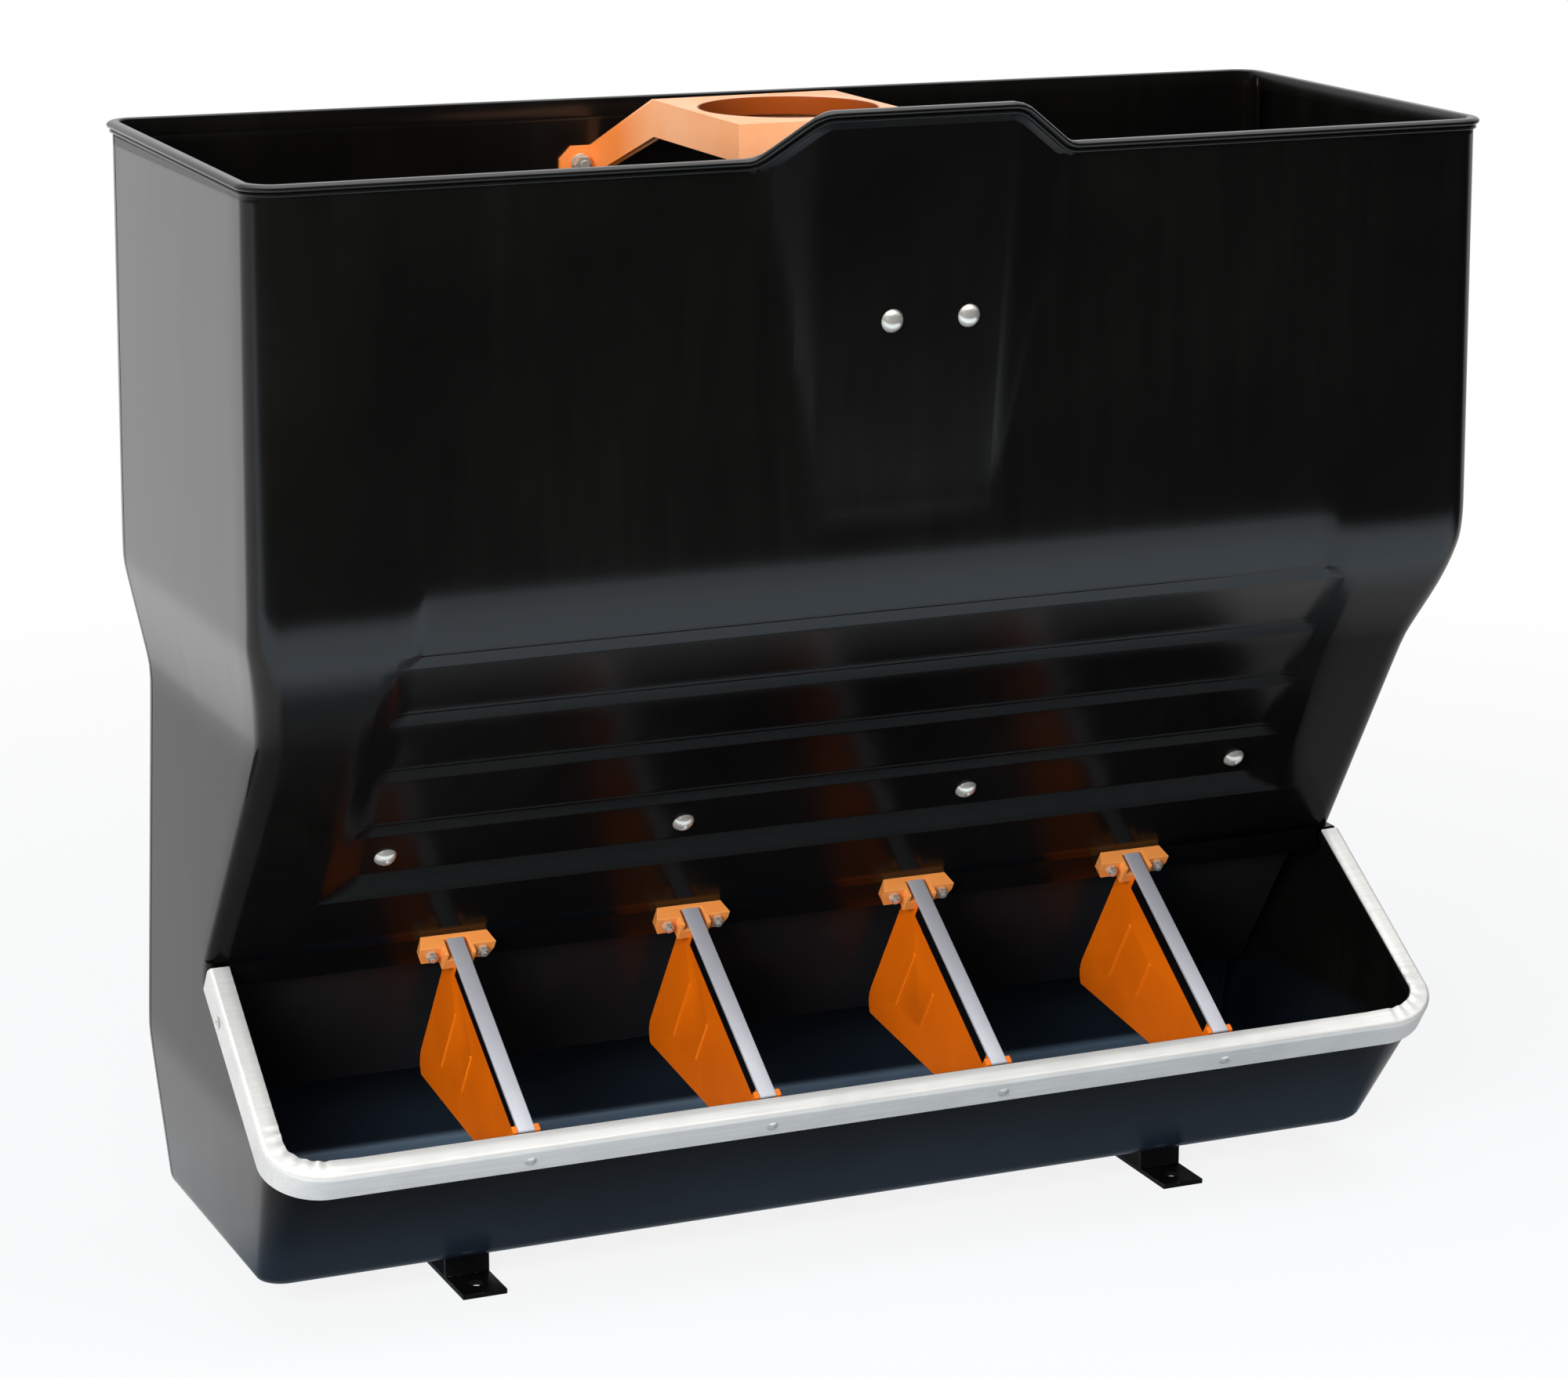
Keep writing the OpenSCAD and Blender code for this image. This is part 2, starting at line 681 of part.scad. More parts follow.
// Feed gate and what carries it
gate_y = slope_t + gate_gap;
slot_w = bush_d + 2 * near;
module feed_gate() color([0.08, 0.08, 0.08]) slope() {
    half = half_w(waist_z) - wall_t - 8;
    hem = 12;
    difference() {
        translate([-half, gate_y, -gate_drop]) cube([2 * half, gate_t, gate_drop + gate_rise]);
        for (x = gate_screw_xs) {
            translate([x - slot_w / 2, gate_y - 1, gate_screw_n - gate_travel])
                cube([slot_w, gate_t + 2, 2 * gate_travel]);
            for (s = [-1, 1])
                translate([x, gate_y - 1, gate_screw_n + s * gate_travel]) rotate([-90, 0, 0])
                    cylinder(d = slot_w, h = gate_t + 2);
        }
        for (n = riser_screw_ns) for (s = [-1, 1])
            translate([adjuster_x + s * riser_screw_x, gate_y, n]) rotate([90, 0, 0])
                hole(screw_d, gate_t + 4);
    }
    translate([-half, gate_y, -gate_drop]) cube([2 * half, hem, gate_t]);
}
bush_l = gate_gap + gate_t + 0.6;
washer_t = 2;
module gate_bushes() color([0.85, 0.85, 0.82])
    at_gate_screws() translate([0, 0, -slope_t - bush_l]) washer(bush_d, bolt_d, bush_l);
module gate_screws() color([0.82, 0.8, 0.75])
    at_gate_screws() translate([0, 0, -seat_d])
        dome_bolt(dome_d, 6, bolt_d, slope_t - seat_d + bush_l + washer_t + bolt_d + 2);
module gate_washers() color([0.75, 0.75, 0.74])
    at_gate_screws() translate([0, 0, -slope_t - bush_l - washer_t]) washer(2 * bush_d, bolt_d, washer_t);
module gate_nuts() color([0.75, 0.75, 0.74])
    at_gate_screws() translate([0, 0, -slope_t - bush_l - washer_t - 0.8 * bolt_d])
        hex_nut(bolt_d, 0.8 * bolt_d);

// Riser from the gate up behind the peak
riser_screw_x = 14;
riser_foot_l = 100;
riser_screw_ns = [gate_rise - 0.8 * riser_foot_l, gate_rise - 0.2 * riser_foot_l];
riser_foot_t = 3;
riser_y = gate_y + gate_t;
clamp_y = wall_face + clamp_set;
riser_web = 30;
head_w = 46;
head_taper = 20;
tab_w = 20;
grip_z = clamp_z + 55;
module riser_outline() {
    web_front = clamp_y - riser_web / 2;
    web_back = clamp_y + riser_web / 2;
    foot_n = gate_rise - riser_foot_l;
    kink = function (depth, y) (lip_y + depth * cos(tilt_a) - y) / sin(tilt_a);
    head_low = clamp_z - 48;
    head_top = clamp_z + 40;
    polygon([
        slope_point(riser_y, foot_n),
        slope_point(riser_y + riser_web, foot_n + riser_web),
        slope_point(riser_y + riser_web, kink(riser_y + riser_web, web_back)),
        [web_back, head_low - head_taper], [clamp_y + head_w / 2, head_low],
        [clamp_y + head_w / 2, head_top], [clamp_y + tab_w / 2, head_top],
        [clamp_y + tab_w / 2, grip_z], [clamp_y - tab_w / 2, grip_z],
        [clamp_y - tab_w / 2, head_top], [clamp_y - head_w / 2, head_top],
        [clamp_y - head_w / 2, head_low], [web_front, head_low - head_taper],
        slope_point(riser_y, kink(riser_y, web_front))
    ]);
}
module gate_riser() color([0.7, 0.7, 0.7]) translate([adjuster_x, 0, 0]) {
    foot_half = riser_screw_x + 10;
    stud_slot = bolt_d + 2 * hole_gap;
    difference() {
        union() {
            rotate([90, 0, 90]) translate([0, 0, -riser_t / 2]) linear_extrude(riser_t) riser_outline();
            slope() translate([-foot_half, riser_y, gate_rise - riser_foot_l])
                cube([2 * foot_half, riser_foot_t, riser_foot_l]);
        }
        translate([0, clamp_y, clamp_z]) rotate([tilt_a, 0, 0]) {
            translate([-riser_t, -stud_slot / 2, -gate_travel])
                cube([2 * riser_t, stud_slot, 2 * gate_travel]);
            for (s = [-1, 1]) translate([-riser_t, 0, s * gate_travel]) rotate([0, 90, 0])
                cylinder(d = stud_slot, h = 2 * riser_t);
        }
        slope() for (n = riser_screw_ns) for (s = [-1, 1])
            translate([s * riser_screw_x, riser_y, n]) rotate([90, 0, 0]) hole(screw_d, riser_foot_t + 4);
    }
}
module riser_screws() color([0.75, 0.75, 0.74])
    slope() for (n = riser_screw_ns) for (s = [-1, 1])
        translate([adjuster_x + s * riser_screw_x, riser_y + riser_foot_t, n]) rotate([-90, 0, 0])
            dome_bolt(2 * screw_d, 3, screw_d, riser_foot_t + gate_t);
module riser_grip() color([0.9, 0.45, 0.08])
    translate([adjuster_x, clamp_y, grip_z]) difference() {
        rotate([0, 90, 0]) {
            cylinder(d = grip_d, h = grip_l - 2 * grip_end, center = true);
            for (s = [-1, 1]) translate([0, 0, s * (grip_l / 2 - grip_end / 2)])
                cylinder(d = grip_d - 4, h = grip_end, center = true);
        }
        translate([-riser_t / 2, -tab_w / 2, -grip_d]) cube([riser_t, tab_w, grip_d]);
    }
grip_end = 5;

// Clamp behind the peak
ear_x = riser_t / 2 + near;
ear_t = 4;
plate_t = 4;
stud_head_h = 4;
module clamp_bracket() color([0.7, 0.7, 0.7]) difference() {
    plate_w = bracket_screw_pitch + 30;
    plate_h = 46;
    ear_w = 34;
    inner = bracket_y + wall_t / cos(bulge_lean);
    union() {
        bulge_front() translate([-plate_w / 2, -plate_h / 2, -wall_t - plate_t])
            cube([plate_w, plate_h, plate_t]);
        translate([adjuster_x + ear_x, 0, 0]) rotate([90, 0, 90]) linear_extrude(ear_t) polygon([
            [inner + 4.5, bracket_screw_z - plate_h / 2 + 4],
            [inner + 10, bracket_screw_z - plate_h / 2 + 4],
            [clamp_y + ear_w / 2, clamp_z - ear_w / 2],
            [clamp_y + ear_w / 2, clamp_z + ear_w / 2],
            [clamp_y - ear_w / 2, clamp_z + ear_w / 2],
            [inner, bracket_screw_z + plate_h / 2 - 4]
        ]);
    }
    at_bracket_screws() hole(bolt_d, wall_t + plate_t + 4);
    translate([adjuster_x + ear_x, clamp_y, clamp_z]) rotate([0, 90, 0]) hole(bolt_d, ear_t + 4);
}
module bracket_screws() color([0.82, 0.8, 0.75])
    at_bracket_screws() dome_bolt(dome_d, 6, bolt_d, wall_t + plate_t + bolt_d + 2);
module bracket_nuts() color([0.75, 0.75, 0.74])
    at_bracket_screws() translate([0, 0, -wall_t - plate_t - 0.8 * bolt_d]) hex_nut(bolt_d, 0.8 * bolt_d);
knob_t = 18;
knob_x = -riser_t / 2 - near;
module clamp_stud() color([0.75, 0.75, 0.74])
    translate([adjuster_x + ear_x + ear_t, clamp_y, clamp_z]) rotate([0, 90, 0])
        dome_bolt(1.9 * bolt_d, stud_head_h, bolt_d, ear_t + 2 * near + riser_t + knob_t + 3);
module clamp_knob() color([0.9, 0.45, 0.08])
    translate([adjuster_x + knob_x, clamp_y, clamp_z]) rotate([0, -90, 0]) difference() {
        lobes = 6;
        union() {
            cylinder(d = knob_d * 0.8, h = knob_t);
            for (a = [0:360 / lobes:359]) rotate(a) translate([knob_d * 0.36, 0, 4])
                cylinder(d = knob_d * 0.28, h = knob_t - 4);
        }
        translate([0, 0, -1]) cylinder(d = bolt_d + running, h = knob_t + 2);
    }

// Ring bracket for the supply pipe
ring_y = front_y + pipe_set;
ring_z = rim_h + ring_rise;
module pipe_bracket() color([0.95, 0.5, 0.12]) difference() {
    tab_y = back_y - wall_t - ring_t;
    tab_w = 34;
    tab_h = 22;
    back_edge = ring_y + ring_d / 2;
    leg_z = rim_h - leg_drop;
    union() {
        translate([-ring_w / 2, ring_y - ring_d / 2, ring_z - ring_t]) cube([ring_w, ring_d, ring_t]);
        translate([0, ring_y, ring_z - ring_skirt]) difference() {
            linear_extrude(ring_skirt) square([ring_w, ring_d], center = true);
            translate([0, 0, -1]) linear_extrude(ring_skirt)
                square([ring_w - 2 * ring_t, ring_d - 2 * ring_t], center = true);
        }
        translate([0, ring_y, ring_z - 14]) cylinder(d = pipe_d + 2 * ring_t, h = 14, $fn = 96);
        for (s = [-1, 1]) mirror([s < 0 ? 1 : 0, 0, 0]) {
            hull() {
                translate([ring_w / 2 - 2 * ring_t, back_edge - ring_t, ring_z - ring_skirt])
                    cube([2 * ring_t, ring_t, ring_skirt]);
                translate([leg_pitch / 2 - tab_w / 2, tab_y, leg_z - 10])
                    cube([tab_w / 2 - bolt_d - 1.5, ring_t, 24]);
            }
            translate([leg_pitch / 2, tab_y + ring_t, leg_z]) rotate([90, 0, 0]) linear_extrude(ring_t)
                polygon([
                    [-tab_w / 2, 14], [tab_w / 2 - 10, 14], [tab_w / 2, 4],
                    [tab_w / 2, -tab_h], [-tab_w / 2, -tab_h]
                ]);
        }
    }
    translate([0, ring_y, ring_z - ring_skirt - 1]) cylinder(d = pipe_d, h = ring_skirt + 2, $fn = 96);
    at_pipe_bolts() hole(bolt_d, wall_t + ring_t + 6);
}
module pipe_bolts() color([0.75, 0.75, 0.74])
    at_pipe_bolts() dome_bolt(dome_d, bead_r - 0.5, bolt_d, wall_t + ring_t + washer_t + bolt_d + 2);
module pipe_washers() color([0.75, 0.75, 0.74])
    at_pipe_bolts() translate([0, 0, -wall_t - ring_t - washer_t]) washer(2 * bolt_d, bolt_d, washer_t);
module pipe_nuts() color([0.75, 0.75, 0.74])
    at_pipe_bolts() translate([0, 0, -wall_t - ring_t - washer_t - 0.8 * bolt_d])
        hex_nut(bolt_d, 0.8 * bolt_d);

// Floor brackets
module floor_bracket(s) color([0.06, 0.06, 0.06])
    translate([s * foot_pitch / 2 - foot_w / 2, front_y + foot_set, 0]) difference() {
        union() {
            cube([foot_w, tongue_l + foot_l, foot_t]);
            translate([0, tongue_l, 0]) difference() {
                cube([foot_w, foot_l, base_z]);
                translate([-1, foot_t, foot_t])
                    cube([foot_w + 2, foot_l - 2 * foot_t, base_z - 2 * foot_t]);
            }
        }
        translate([foot_w / 2, tongue_l / 2, 0]) hole(anchor_d - hole_gap, foot_t + 1);
        for (y = [foot_bolt_inset, foot_l - foot_bolt_inset])
            translate([foot_w / 2, tongue_l + y, base_z]) hole(bolt_d, foot_t + 1);
    }
module foot_bolts() color([0.75, 0.75, 0.74])
    at_foot_bolts() dome_bolt(dome_d, 4, bolt_d, wall_t + foot_t + 0.8 * bolt_d + 2);
module foot_nuts() color([0.75, 0.75, 0.74])
    at_foot_bolts() translate([0, 0, -wall_t - foot_t - 0.8 * bolt_d]) hex_nut(bolt_d, 0.8 * bolt_d);

front_shell();
rear_panel();
lip_trim();
lip_rivets();
for (i = [0:3]) {
    divider_panel(i);
    divider_block(i);
    divider_bar(i);
}
divider_screws();
divider_nuts();
feed_gate();
gate_bushes();
gate_screws();
gate_washers();
gate_nuts();
gate_riser();
riser_screws();
riser_grip();
clamp_bracket();
bracket_screws();
bracket_nuts();
clamp_stud();
clamp_knob();
pipe_bracket();
pipe_bolts();
pipe_washers();
pipe_nuts();
floor_bracket(-1);  // floor_bracket_left
floor_bracket(1);  // floor_bracket_right
foot_bolts();
foot_nuts();
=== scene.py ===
"""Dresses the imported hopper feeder: a black moulded hopper and trough with a steel lip, orange dividers on
steel bars, a louvered slope, a feed gate with its adjuster and an orange ring for the feed pipe."""

import json
import logging
import math
from dataclasses import dataclass, field
from enum import Enum
from typing import Callable, Iterable, Sequence

import bmesh
import bpy
from bmesh.types import BMEdge, BMesh, BMVert
from bpy.types import Material, Object
from mathutils import Matrix, Vector

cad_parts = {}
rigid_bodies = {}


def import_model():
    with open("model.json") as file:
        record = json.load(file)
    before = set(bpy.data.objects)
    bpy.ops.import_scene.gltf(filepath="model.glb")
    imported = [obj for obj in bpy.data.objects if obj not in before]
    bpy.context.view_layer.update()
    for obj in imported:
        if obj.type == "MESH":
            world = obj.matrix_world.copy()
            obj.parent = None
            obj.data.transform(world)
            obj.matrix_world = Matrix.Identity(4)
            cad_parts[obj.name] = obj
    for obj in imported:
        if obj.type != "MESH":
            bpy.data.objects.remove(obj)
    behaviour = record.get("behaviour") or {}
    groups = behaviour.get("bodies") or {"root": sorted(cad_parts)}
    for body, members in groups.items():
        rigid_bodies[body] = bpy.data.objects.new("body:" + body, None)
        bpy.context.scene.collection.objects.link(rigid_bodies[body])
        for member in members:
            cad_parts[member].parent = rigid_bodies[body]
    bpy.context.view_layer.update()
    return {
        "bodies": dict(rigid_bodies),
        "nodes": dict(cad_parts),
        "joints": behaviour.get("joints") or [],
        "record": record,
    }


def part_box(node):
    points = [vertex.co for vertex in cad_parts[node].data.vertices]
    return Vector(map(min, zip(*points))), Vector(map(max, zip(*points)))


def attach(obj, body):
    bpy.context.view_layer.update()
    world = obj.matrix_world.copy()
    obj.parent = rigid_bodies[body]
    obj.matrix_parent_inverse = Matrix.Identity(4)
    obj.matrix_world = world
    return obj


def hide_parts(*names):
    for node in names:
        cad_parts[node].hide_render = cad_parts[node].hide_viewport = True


LOG = logging.getLogger("feeder")
Colour = tuple[float, float, float]
Socket = bpy.types.NodeSocket
WHITE: Colour = (1.0, 1.0, 1.0)
MERGE = 1e-6
NEAR = 1e-5
CLOSE = 1e-4
CREASE = 35.0


class Axis(Enum):
    """A main axis, along which rows are cut or a surface is brushed."""
    X = (1.0, 0.0, 0.0)
    Y = (0.0, 1.0, 0.0)
    Z = (0.0, 0.0, 1.0)


class Body(Enum):
    """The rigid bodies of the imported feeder."""
    FEEDER = "feeder"
    GATE = "gate"
    KNOB = "knob"


def soft(x: float, r: float) -> float:
    """Gives x where it is positive and 0 where it isn't, with a corner of softness r."""
    return (x + math.sqrt(x * x + r * r)) / 2


def soft_max(a: float, b: float, r: float) -> float:
    """Gives the larger of two values, with a corner of softness r."""
    return b + soft(a - b, r)


def eased(x: float, reach: float) -> float:
    """Gives x where it is positive and 0 where it isn't, with a round corner that ends at a reach to both sides."""
    return max(0.0, x) if abs(x) >= reach else (x + reach) ** 2 / (4 * reach)


def limit(x: float) -> float:
    """Holds a share between 0 and 1."""
    return max(0.0, min(1.0, x))


def steps(start: float, stop: float, pitch: float) -> list[float]:
    """Divides a stretch into equal steps.

    Args:
        start: First place.
        stop: Last place.
        pitch: Longest step.

    Returns:
        The places, with both ends.
    """
    count = max(1, math.ceil(abs(stop - start) / pitch))
    return [start + (stop - start) * i / count for i in range(count + 1)]


class NodeSheet:
    """A node tree, with short calls for the nodes that are common to finishes and studio."""

    def __init__(self, tree: bpy.types.NodeTree) -> None:
        """Takes the tree to draw in."""
        self.tree = tree

    def node(self, kind: str, **settings: object) -> bpy.types.Node:
        """Adds a node.

        Args:
            kind: Type of the node.
            **settings: Its options.

        Returns:
            The node.
        """
        made = self.tree.nodes.new(kind)
        for key, value in settings.items():
            setattr(made, key, value)
        return made

    def feed(self, target: Socket, value: object) -> None:
        """Links a socket to another, or gives it a constant.

        Args:
            target: Socket to feed.
            value: Another socket, or a number, vector or colour.
        """
        if isinstance(value, bpy.types.NodeSocket):
            self.tree.links.new(value, target)
        else:
            target.default_value = (*value, 1.0) if target.type == "RGBA" and len(value) == 3 else value

    def spread(self, value: Socket, low: float, high: float, out_low: float, out_high: float) -> Socket:
        """Maps a value from one range to another, held at the ends.

        Args:
            value: The value.
            low: Start of its range.
            high: End of its range.
            out_low: What the start becomes.
            out_high: What the end becomes.

        Returns:
            The mapped value.
        """
        made = self.node("ShaderNodeMapRange")
        for key, part in (("Value", value), ("From Min", low), ("From Max", high),
                          ("To Min", out_low), ("To Max", out_high)):
            self.feed(made.inputs[key], part)
        return made.outputs["Result"]

    def mix(self, factor: object, first: object, second: object) -> Socket:
        """Mixes two colours.

        Args:
            factor: Share of the second.
            first: One colour.
            second: The other.

        Returns:
            The mixed colour.
        """
        made = self.node("ShaderNodeMix", data_type="RGBA")
        for index, value in ((0, factor), (6, first), (7, second)):
            self.feed(made.inputs[index], value)
        return made.outputs[2]

    def math(self, operation: str, first: object, second: object = 0.0) -> Socket:
        """Joins two values by an arithmetic operation.

        Args:
            operation: Name of the operation.
            first: One value.
            second: The other, which some operations don't use.

        Returns:
            The result.
        """
        made = self.node("ShaderNodeMath", operation=operation)
        self.feed(made.inputs[0], first)
        self.feed(made.inputs[1], second)
        return made.outputs[0]

    def parts(self, vector: Socket) -> Sequence[Socket]:
        """Splits a vector.

        Args:
            vector: The vector.

        Returns:
            Its three parts.
        """
        made = self.node("ShaderNodeSeparateXYZ")
        self.feed(made.inputs["Vector"], vector)
        return made.outputs

    def rays(self) -> tuple[Socket, Socket]:
        """Tells the camera's rays, and those that a glossy or clear surface sends on."""
        path = self.node("ShaderNodeLightPath").outputs
        return path["Is Camera Ray"], self.math("MAXIMUM", path["Is Glossy Ray"], path["Is Transmission Ray"])


class ShaderSheet(NodeSheet):
    """The node tree of one material, with short calls for the patterns that the finishes use."""

    def __init__(self, name: str) -> None:
        """Starts a material with a plain shader."""
        self.material: Material = bpy.data.materials.new(name)
        self.material.use_nodes = True
        super().__init__(self.material.node_tree)
        self.shader = self.tree.nodes["Principled BSDF"]
        self.place: Socket = self.node("ShaderNodeTexCoord").outputs["Object"]

    def set(self, **values: object) -> None:
        """Feeds the shader's inputs, named with underscores for spaces."""
        for key, value in values.items():
            self.feed(self.shader.inputs[key.replace("_", " ")], value)

    def mapped(self, scale: Sequence[float]) -> Socket:
        """Stretches the object's coordinates along the axes.

        Args:
            scale: Factor for each axis.

        Returns:
            The stretched coordinates.
        """
        made = self.node("ShaderNodeMapping")
        self.feed(made.inputs["Vector"], self.place)
        made.inputs["Scale"].default_value = scale
        return made.outputs["Vector"]

    def noise(self, vector: Socket, scale: float, detail: float = 3.0, rough: float = 0.5) -> Socket:
        """Gives a cloud pattern.

        Args:
            vector: Coordinates to read.
            scale: Clouds per metre.
            detail: Layers of finer clouds.
            rough: Strength of the finer layers.

        Returns:
            The pattern's value.
        """
        made = self.node("ShaderNodeTexNoise")
        self.feed(made.inputs["Vector"], vector)
        made.inputs["Scale"].default_value = scale
        made.inputs["Detail"].default_value = detail
        made.inputs["Roughness"].default_value = rough
        return made.outputs["Fac"]

    def edges(self, radius: float, reach: float) -> Socket:
        """Finds the edges of a piece, for wear.

        Args:
            radius: Width of the worn strip.
            reach: How far the surface has to turn for full wear.

        Returns:
            0 on the faces and up to 1 on the edges.
        """
        rounded = self.node("ShaderNodeBevel", samples=4)
        rounded.inputs["Radius"].default_value = radius
        straight = self.node("ShaderNodeNewGeometry")
        turn = self.node("ShaderNodeVectorMath", operation="DOT_PRODUCT")
        self.feed(turn.inputs[0], rounded.outputs["Normal"])
        self.feed(turn.inputs[1], straight.outputs["Normal"])
        return self.spread(turn.outputs["Value"], 1.0 - reach, 1.0, 1.0, 0.0)

    def bump(self, height: Socket, depth: float, strength: float = 1.0, under: Socket | None = None) -> Socket:
        """Raises the surface by a pattern.

        Args:
            height: The pattern.
            depth: Height of the pattern in metres.
            strength: Share of the effect.
            under: A coarser bump that this one lies on.

        Returns:
            The changed normal.
        """
        made = self.node("ShaderNodeBump")
        made.inputs["Strength"].default_value = strength
        made.inputs["Distance"].default_value = depth
        self.feed(made.inputs["Height"], height)
        if under is not None:
            self.feed(made.inputs["Normal"], under)
        return made.outputs["Normal"]


@dataclass(frozen=True)
class Finish:
    """A surface finish, made into a material when a piece first needs it."""
    name: str
    slot: str

    def material(self) -> Material:
        """Gives the finish's material."""
        found = bpy.data.materials.get(self.name)
        if found is not None:
            return found
        sheet = ShaderSheet(self.name)
        self.paint(sheet)
        return sheet.material

    def paint(self, sheet: ShaderSheet) -> None:
        """Draws the finish in nodes."""
        raise NotImplementedError


@dataclass(frozen=True)
class MouldedPlastic(Finish):
    """Rotation-moulded plastic: a satin skin with slow waves, fine grain, drawn streaks, a painted bluish sheen low
    down and a stronger painted sheen on faces that look up.
    """
    shade: Colour = (0.0022, 0.002, 0.0018)
    bloom: Colour = (0.0062, 0.0058, 0.005)
    gloss: tuple[float, float] = (0.19, 0.23)
    sheen: tuple[float, float] = (0.09, 0.5)
    sheen_from: tuple[float, float] = (0.46, 0.53)
    streak_pull: tuple[float, float, float] = (55.0, 55.0, 4.0)
    wave: float = 0.0005
    grain: float = 0.00006
    # painted sheen: a bluish tint low down, and a stronger one on faces that look up
    painted_low_sheen: Colour = (0.014, 0.022, 0.033)
    low_sheen_from: tuple[float, float] = (0.13, 0.05)
    painted_floor_sheen: Colour = (0.11, 0.165, 0.23)

    def paint(self, sheet: ShaderSheet) -> None:
        """Draws the plastic in nodes."""
        clouds = sheet.noise(sheet.place, 3.0, 5.0, 0.6)
        streaks = sheet.noise(sheet.mapped(self.streak_pull), 1.0, 5.0, 0.65)
        grain = sheet.noise(sheet.place, 650.0, 2.0)
        waves = sheet.noise(sheet.place, 9.0, 1.0)
        tone = sheet.math("MULTIPLY", sheet.spread(clouds, 0.35, 0.7, 0.0, 1.0),
                          sheet.spread(streaks, 0.3, 0.75, 0.3, 1.0))
        height = sheet.parts(sheet.place)[2]
        facing = sheet.parts(sheet.node("ShaderNodeNewGeometry").outputs["Normal"])[2]
        # painted sheen: bluish low down, stronger where the face looks up
        low_down = sheet.spread(height, *self.low_sheen_from, 0.0, 1.0)
        low_sheen = sheet.math("MULTIPLY", low_down, sheet.spread(clouds, 0.3, 0.7, 0.5, 1.0))
        floor = sheet.math("MULTIPLY", sheet.spread(facing, 0.3, 0.95, 0.0, 1.0), low_sheen)
        body = sheet.mix(low_sheen, sheet.mix(tone, self.shade, self.bloom), self.painted_low_sheen)
        low, high = self.gloss
        sheet.set(Base_Color=sheet.mix(floor, body, self.painted_floor_sheen),
                  Roughness=sheet.spread(sheet.math("ADD", streaks, clouds), 0.7, 1.35, low, high),
                  Specular_IOR_Level=sheet.spread(height, *self.sheen_from, *self.sheen),
                  Normal=sheet.bump(grain, self.grain, 0.6, sheet.bump(waves, self.wave, 0.5)))


@dataclass(frozen=True)
class ColouredPlastic(Finish):
    """Moulded sheet or block plastic, with a fine grain, scuffs and paler edges."""
    shade: Colour = (0.80, 0.150, 0.002)
    pale: Colour = (0.88, 0.25, 0.015)
    scuff: Colour = (0.62, 0.108, 0.002)
    gloss: tuple[float, float] = (0.34, 0.5)
    scratch_pull: tuple[float, float, float] = (30.0, 260.0, 40.0)
    worn_edge: float = 0.0016

    def paint(self, sheet: ShaderSheet) -> None:
        """Draws the plastic in nodes."""
        clouds = sheet.noise(sheet.place, 16.0, 4.0)
        scratches = sheet.noise(sheet.mapped(self.scratch_pull), 1.0, 4.0, 0.6)
        grain = sheet.noise(sheet.place, 900.0, 2.0)
        body = sheet.mix(sheet.spread(clouds, 0.42, 0.75, 0.0, 0.5), self.shade, self.scuff)
        worn = sheet.math("MULTIPLY", sheet.edges(self.worn_edge, 0.2), sheet.spread(clouds, 0.3, 0.6, 0.3, 0.9))
        low, high = self.gloss
        sheet.set(Base_Color=sheet.mix(worn, body, self.pale),
                  Roughness=sheet.spread(scratches, 0.3, 0.7, low, high),
                  Normal=sheet.bump(grain, 0.00005, 0.5, sheet.bump(scratches, 0.00008, 0.4)))


@dataclass(frozen=True)
class BrushedSteel(Finish):
    """Stainless sheet, brushed along one axis, with smudges and bright edges."""
    shade: Colour = (0.62, 0.61, 0.58)
    stain: Colour = (0.46, 0.45, 0.43)
    brushed: Axis = Axis.X
    gloss: tuple[float, float] = (0.26, 0.42)
    grain: float = 0.00004
    coarse: float = 12.0
    fine: float = 1800.0
    metal: float = 0.9
    bright: float = 1.25

    def paint(self, sheet: ShaderSheet) -> None:
        """Draws the steel in nodes."""
        pull = tuple(self.coarse if part else self.fine for part in self.brushed.value)
        lines = sheet.noise(sheet.mapped(pull), 1.0, 3.0, 0.6)
        smudge = sheet.noise(sheet.place, 24.0, 5.0, 0.6)
        dents = sheet.noise(sheet.place, 60.0, 2.0)
        body = sheet.mix(sheet.spread(smudge, 0.45, 0.75, 0.0, 0.5), self.shade, self.stain)
        body = sheet.mix(sheet.spread(lines, 0.4, 0.75, 0.0, 0.5), body, self.stain)
        bright = tuple(min(1.0, self.bright * part) for part in self.shade)
        low, high = self.gloss
        sheet.set(Base_Color=sheet.mix(sheet.math("MULTIPLY", sheet.edges(0.0012, 0.25), 0.7), body, bright),
                  Metallic=self.metal,
                  Roughness=sheet.spread(sheet.math("ADD", lines, smudge), 0.7, 1.3, low, high),
                  Normal=sheet.bump(lines, self.grain, 0.5, sheet.bump(dents, 0.0002, 0.35)))


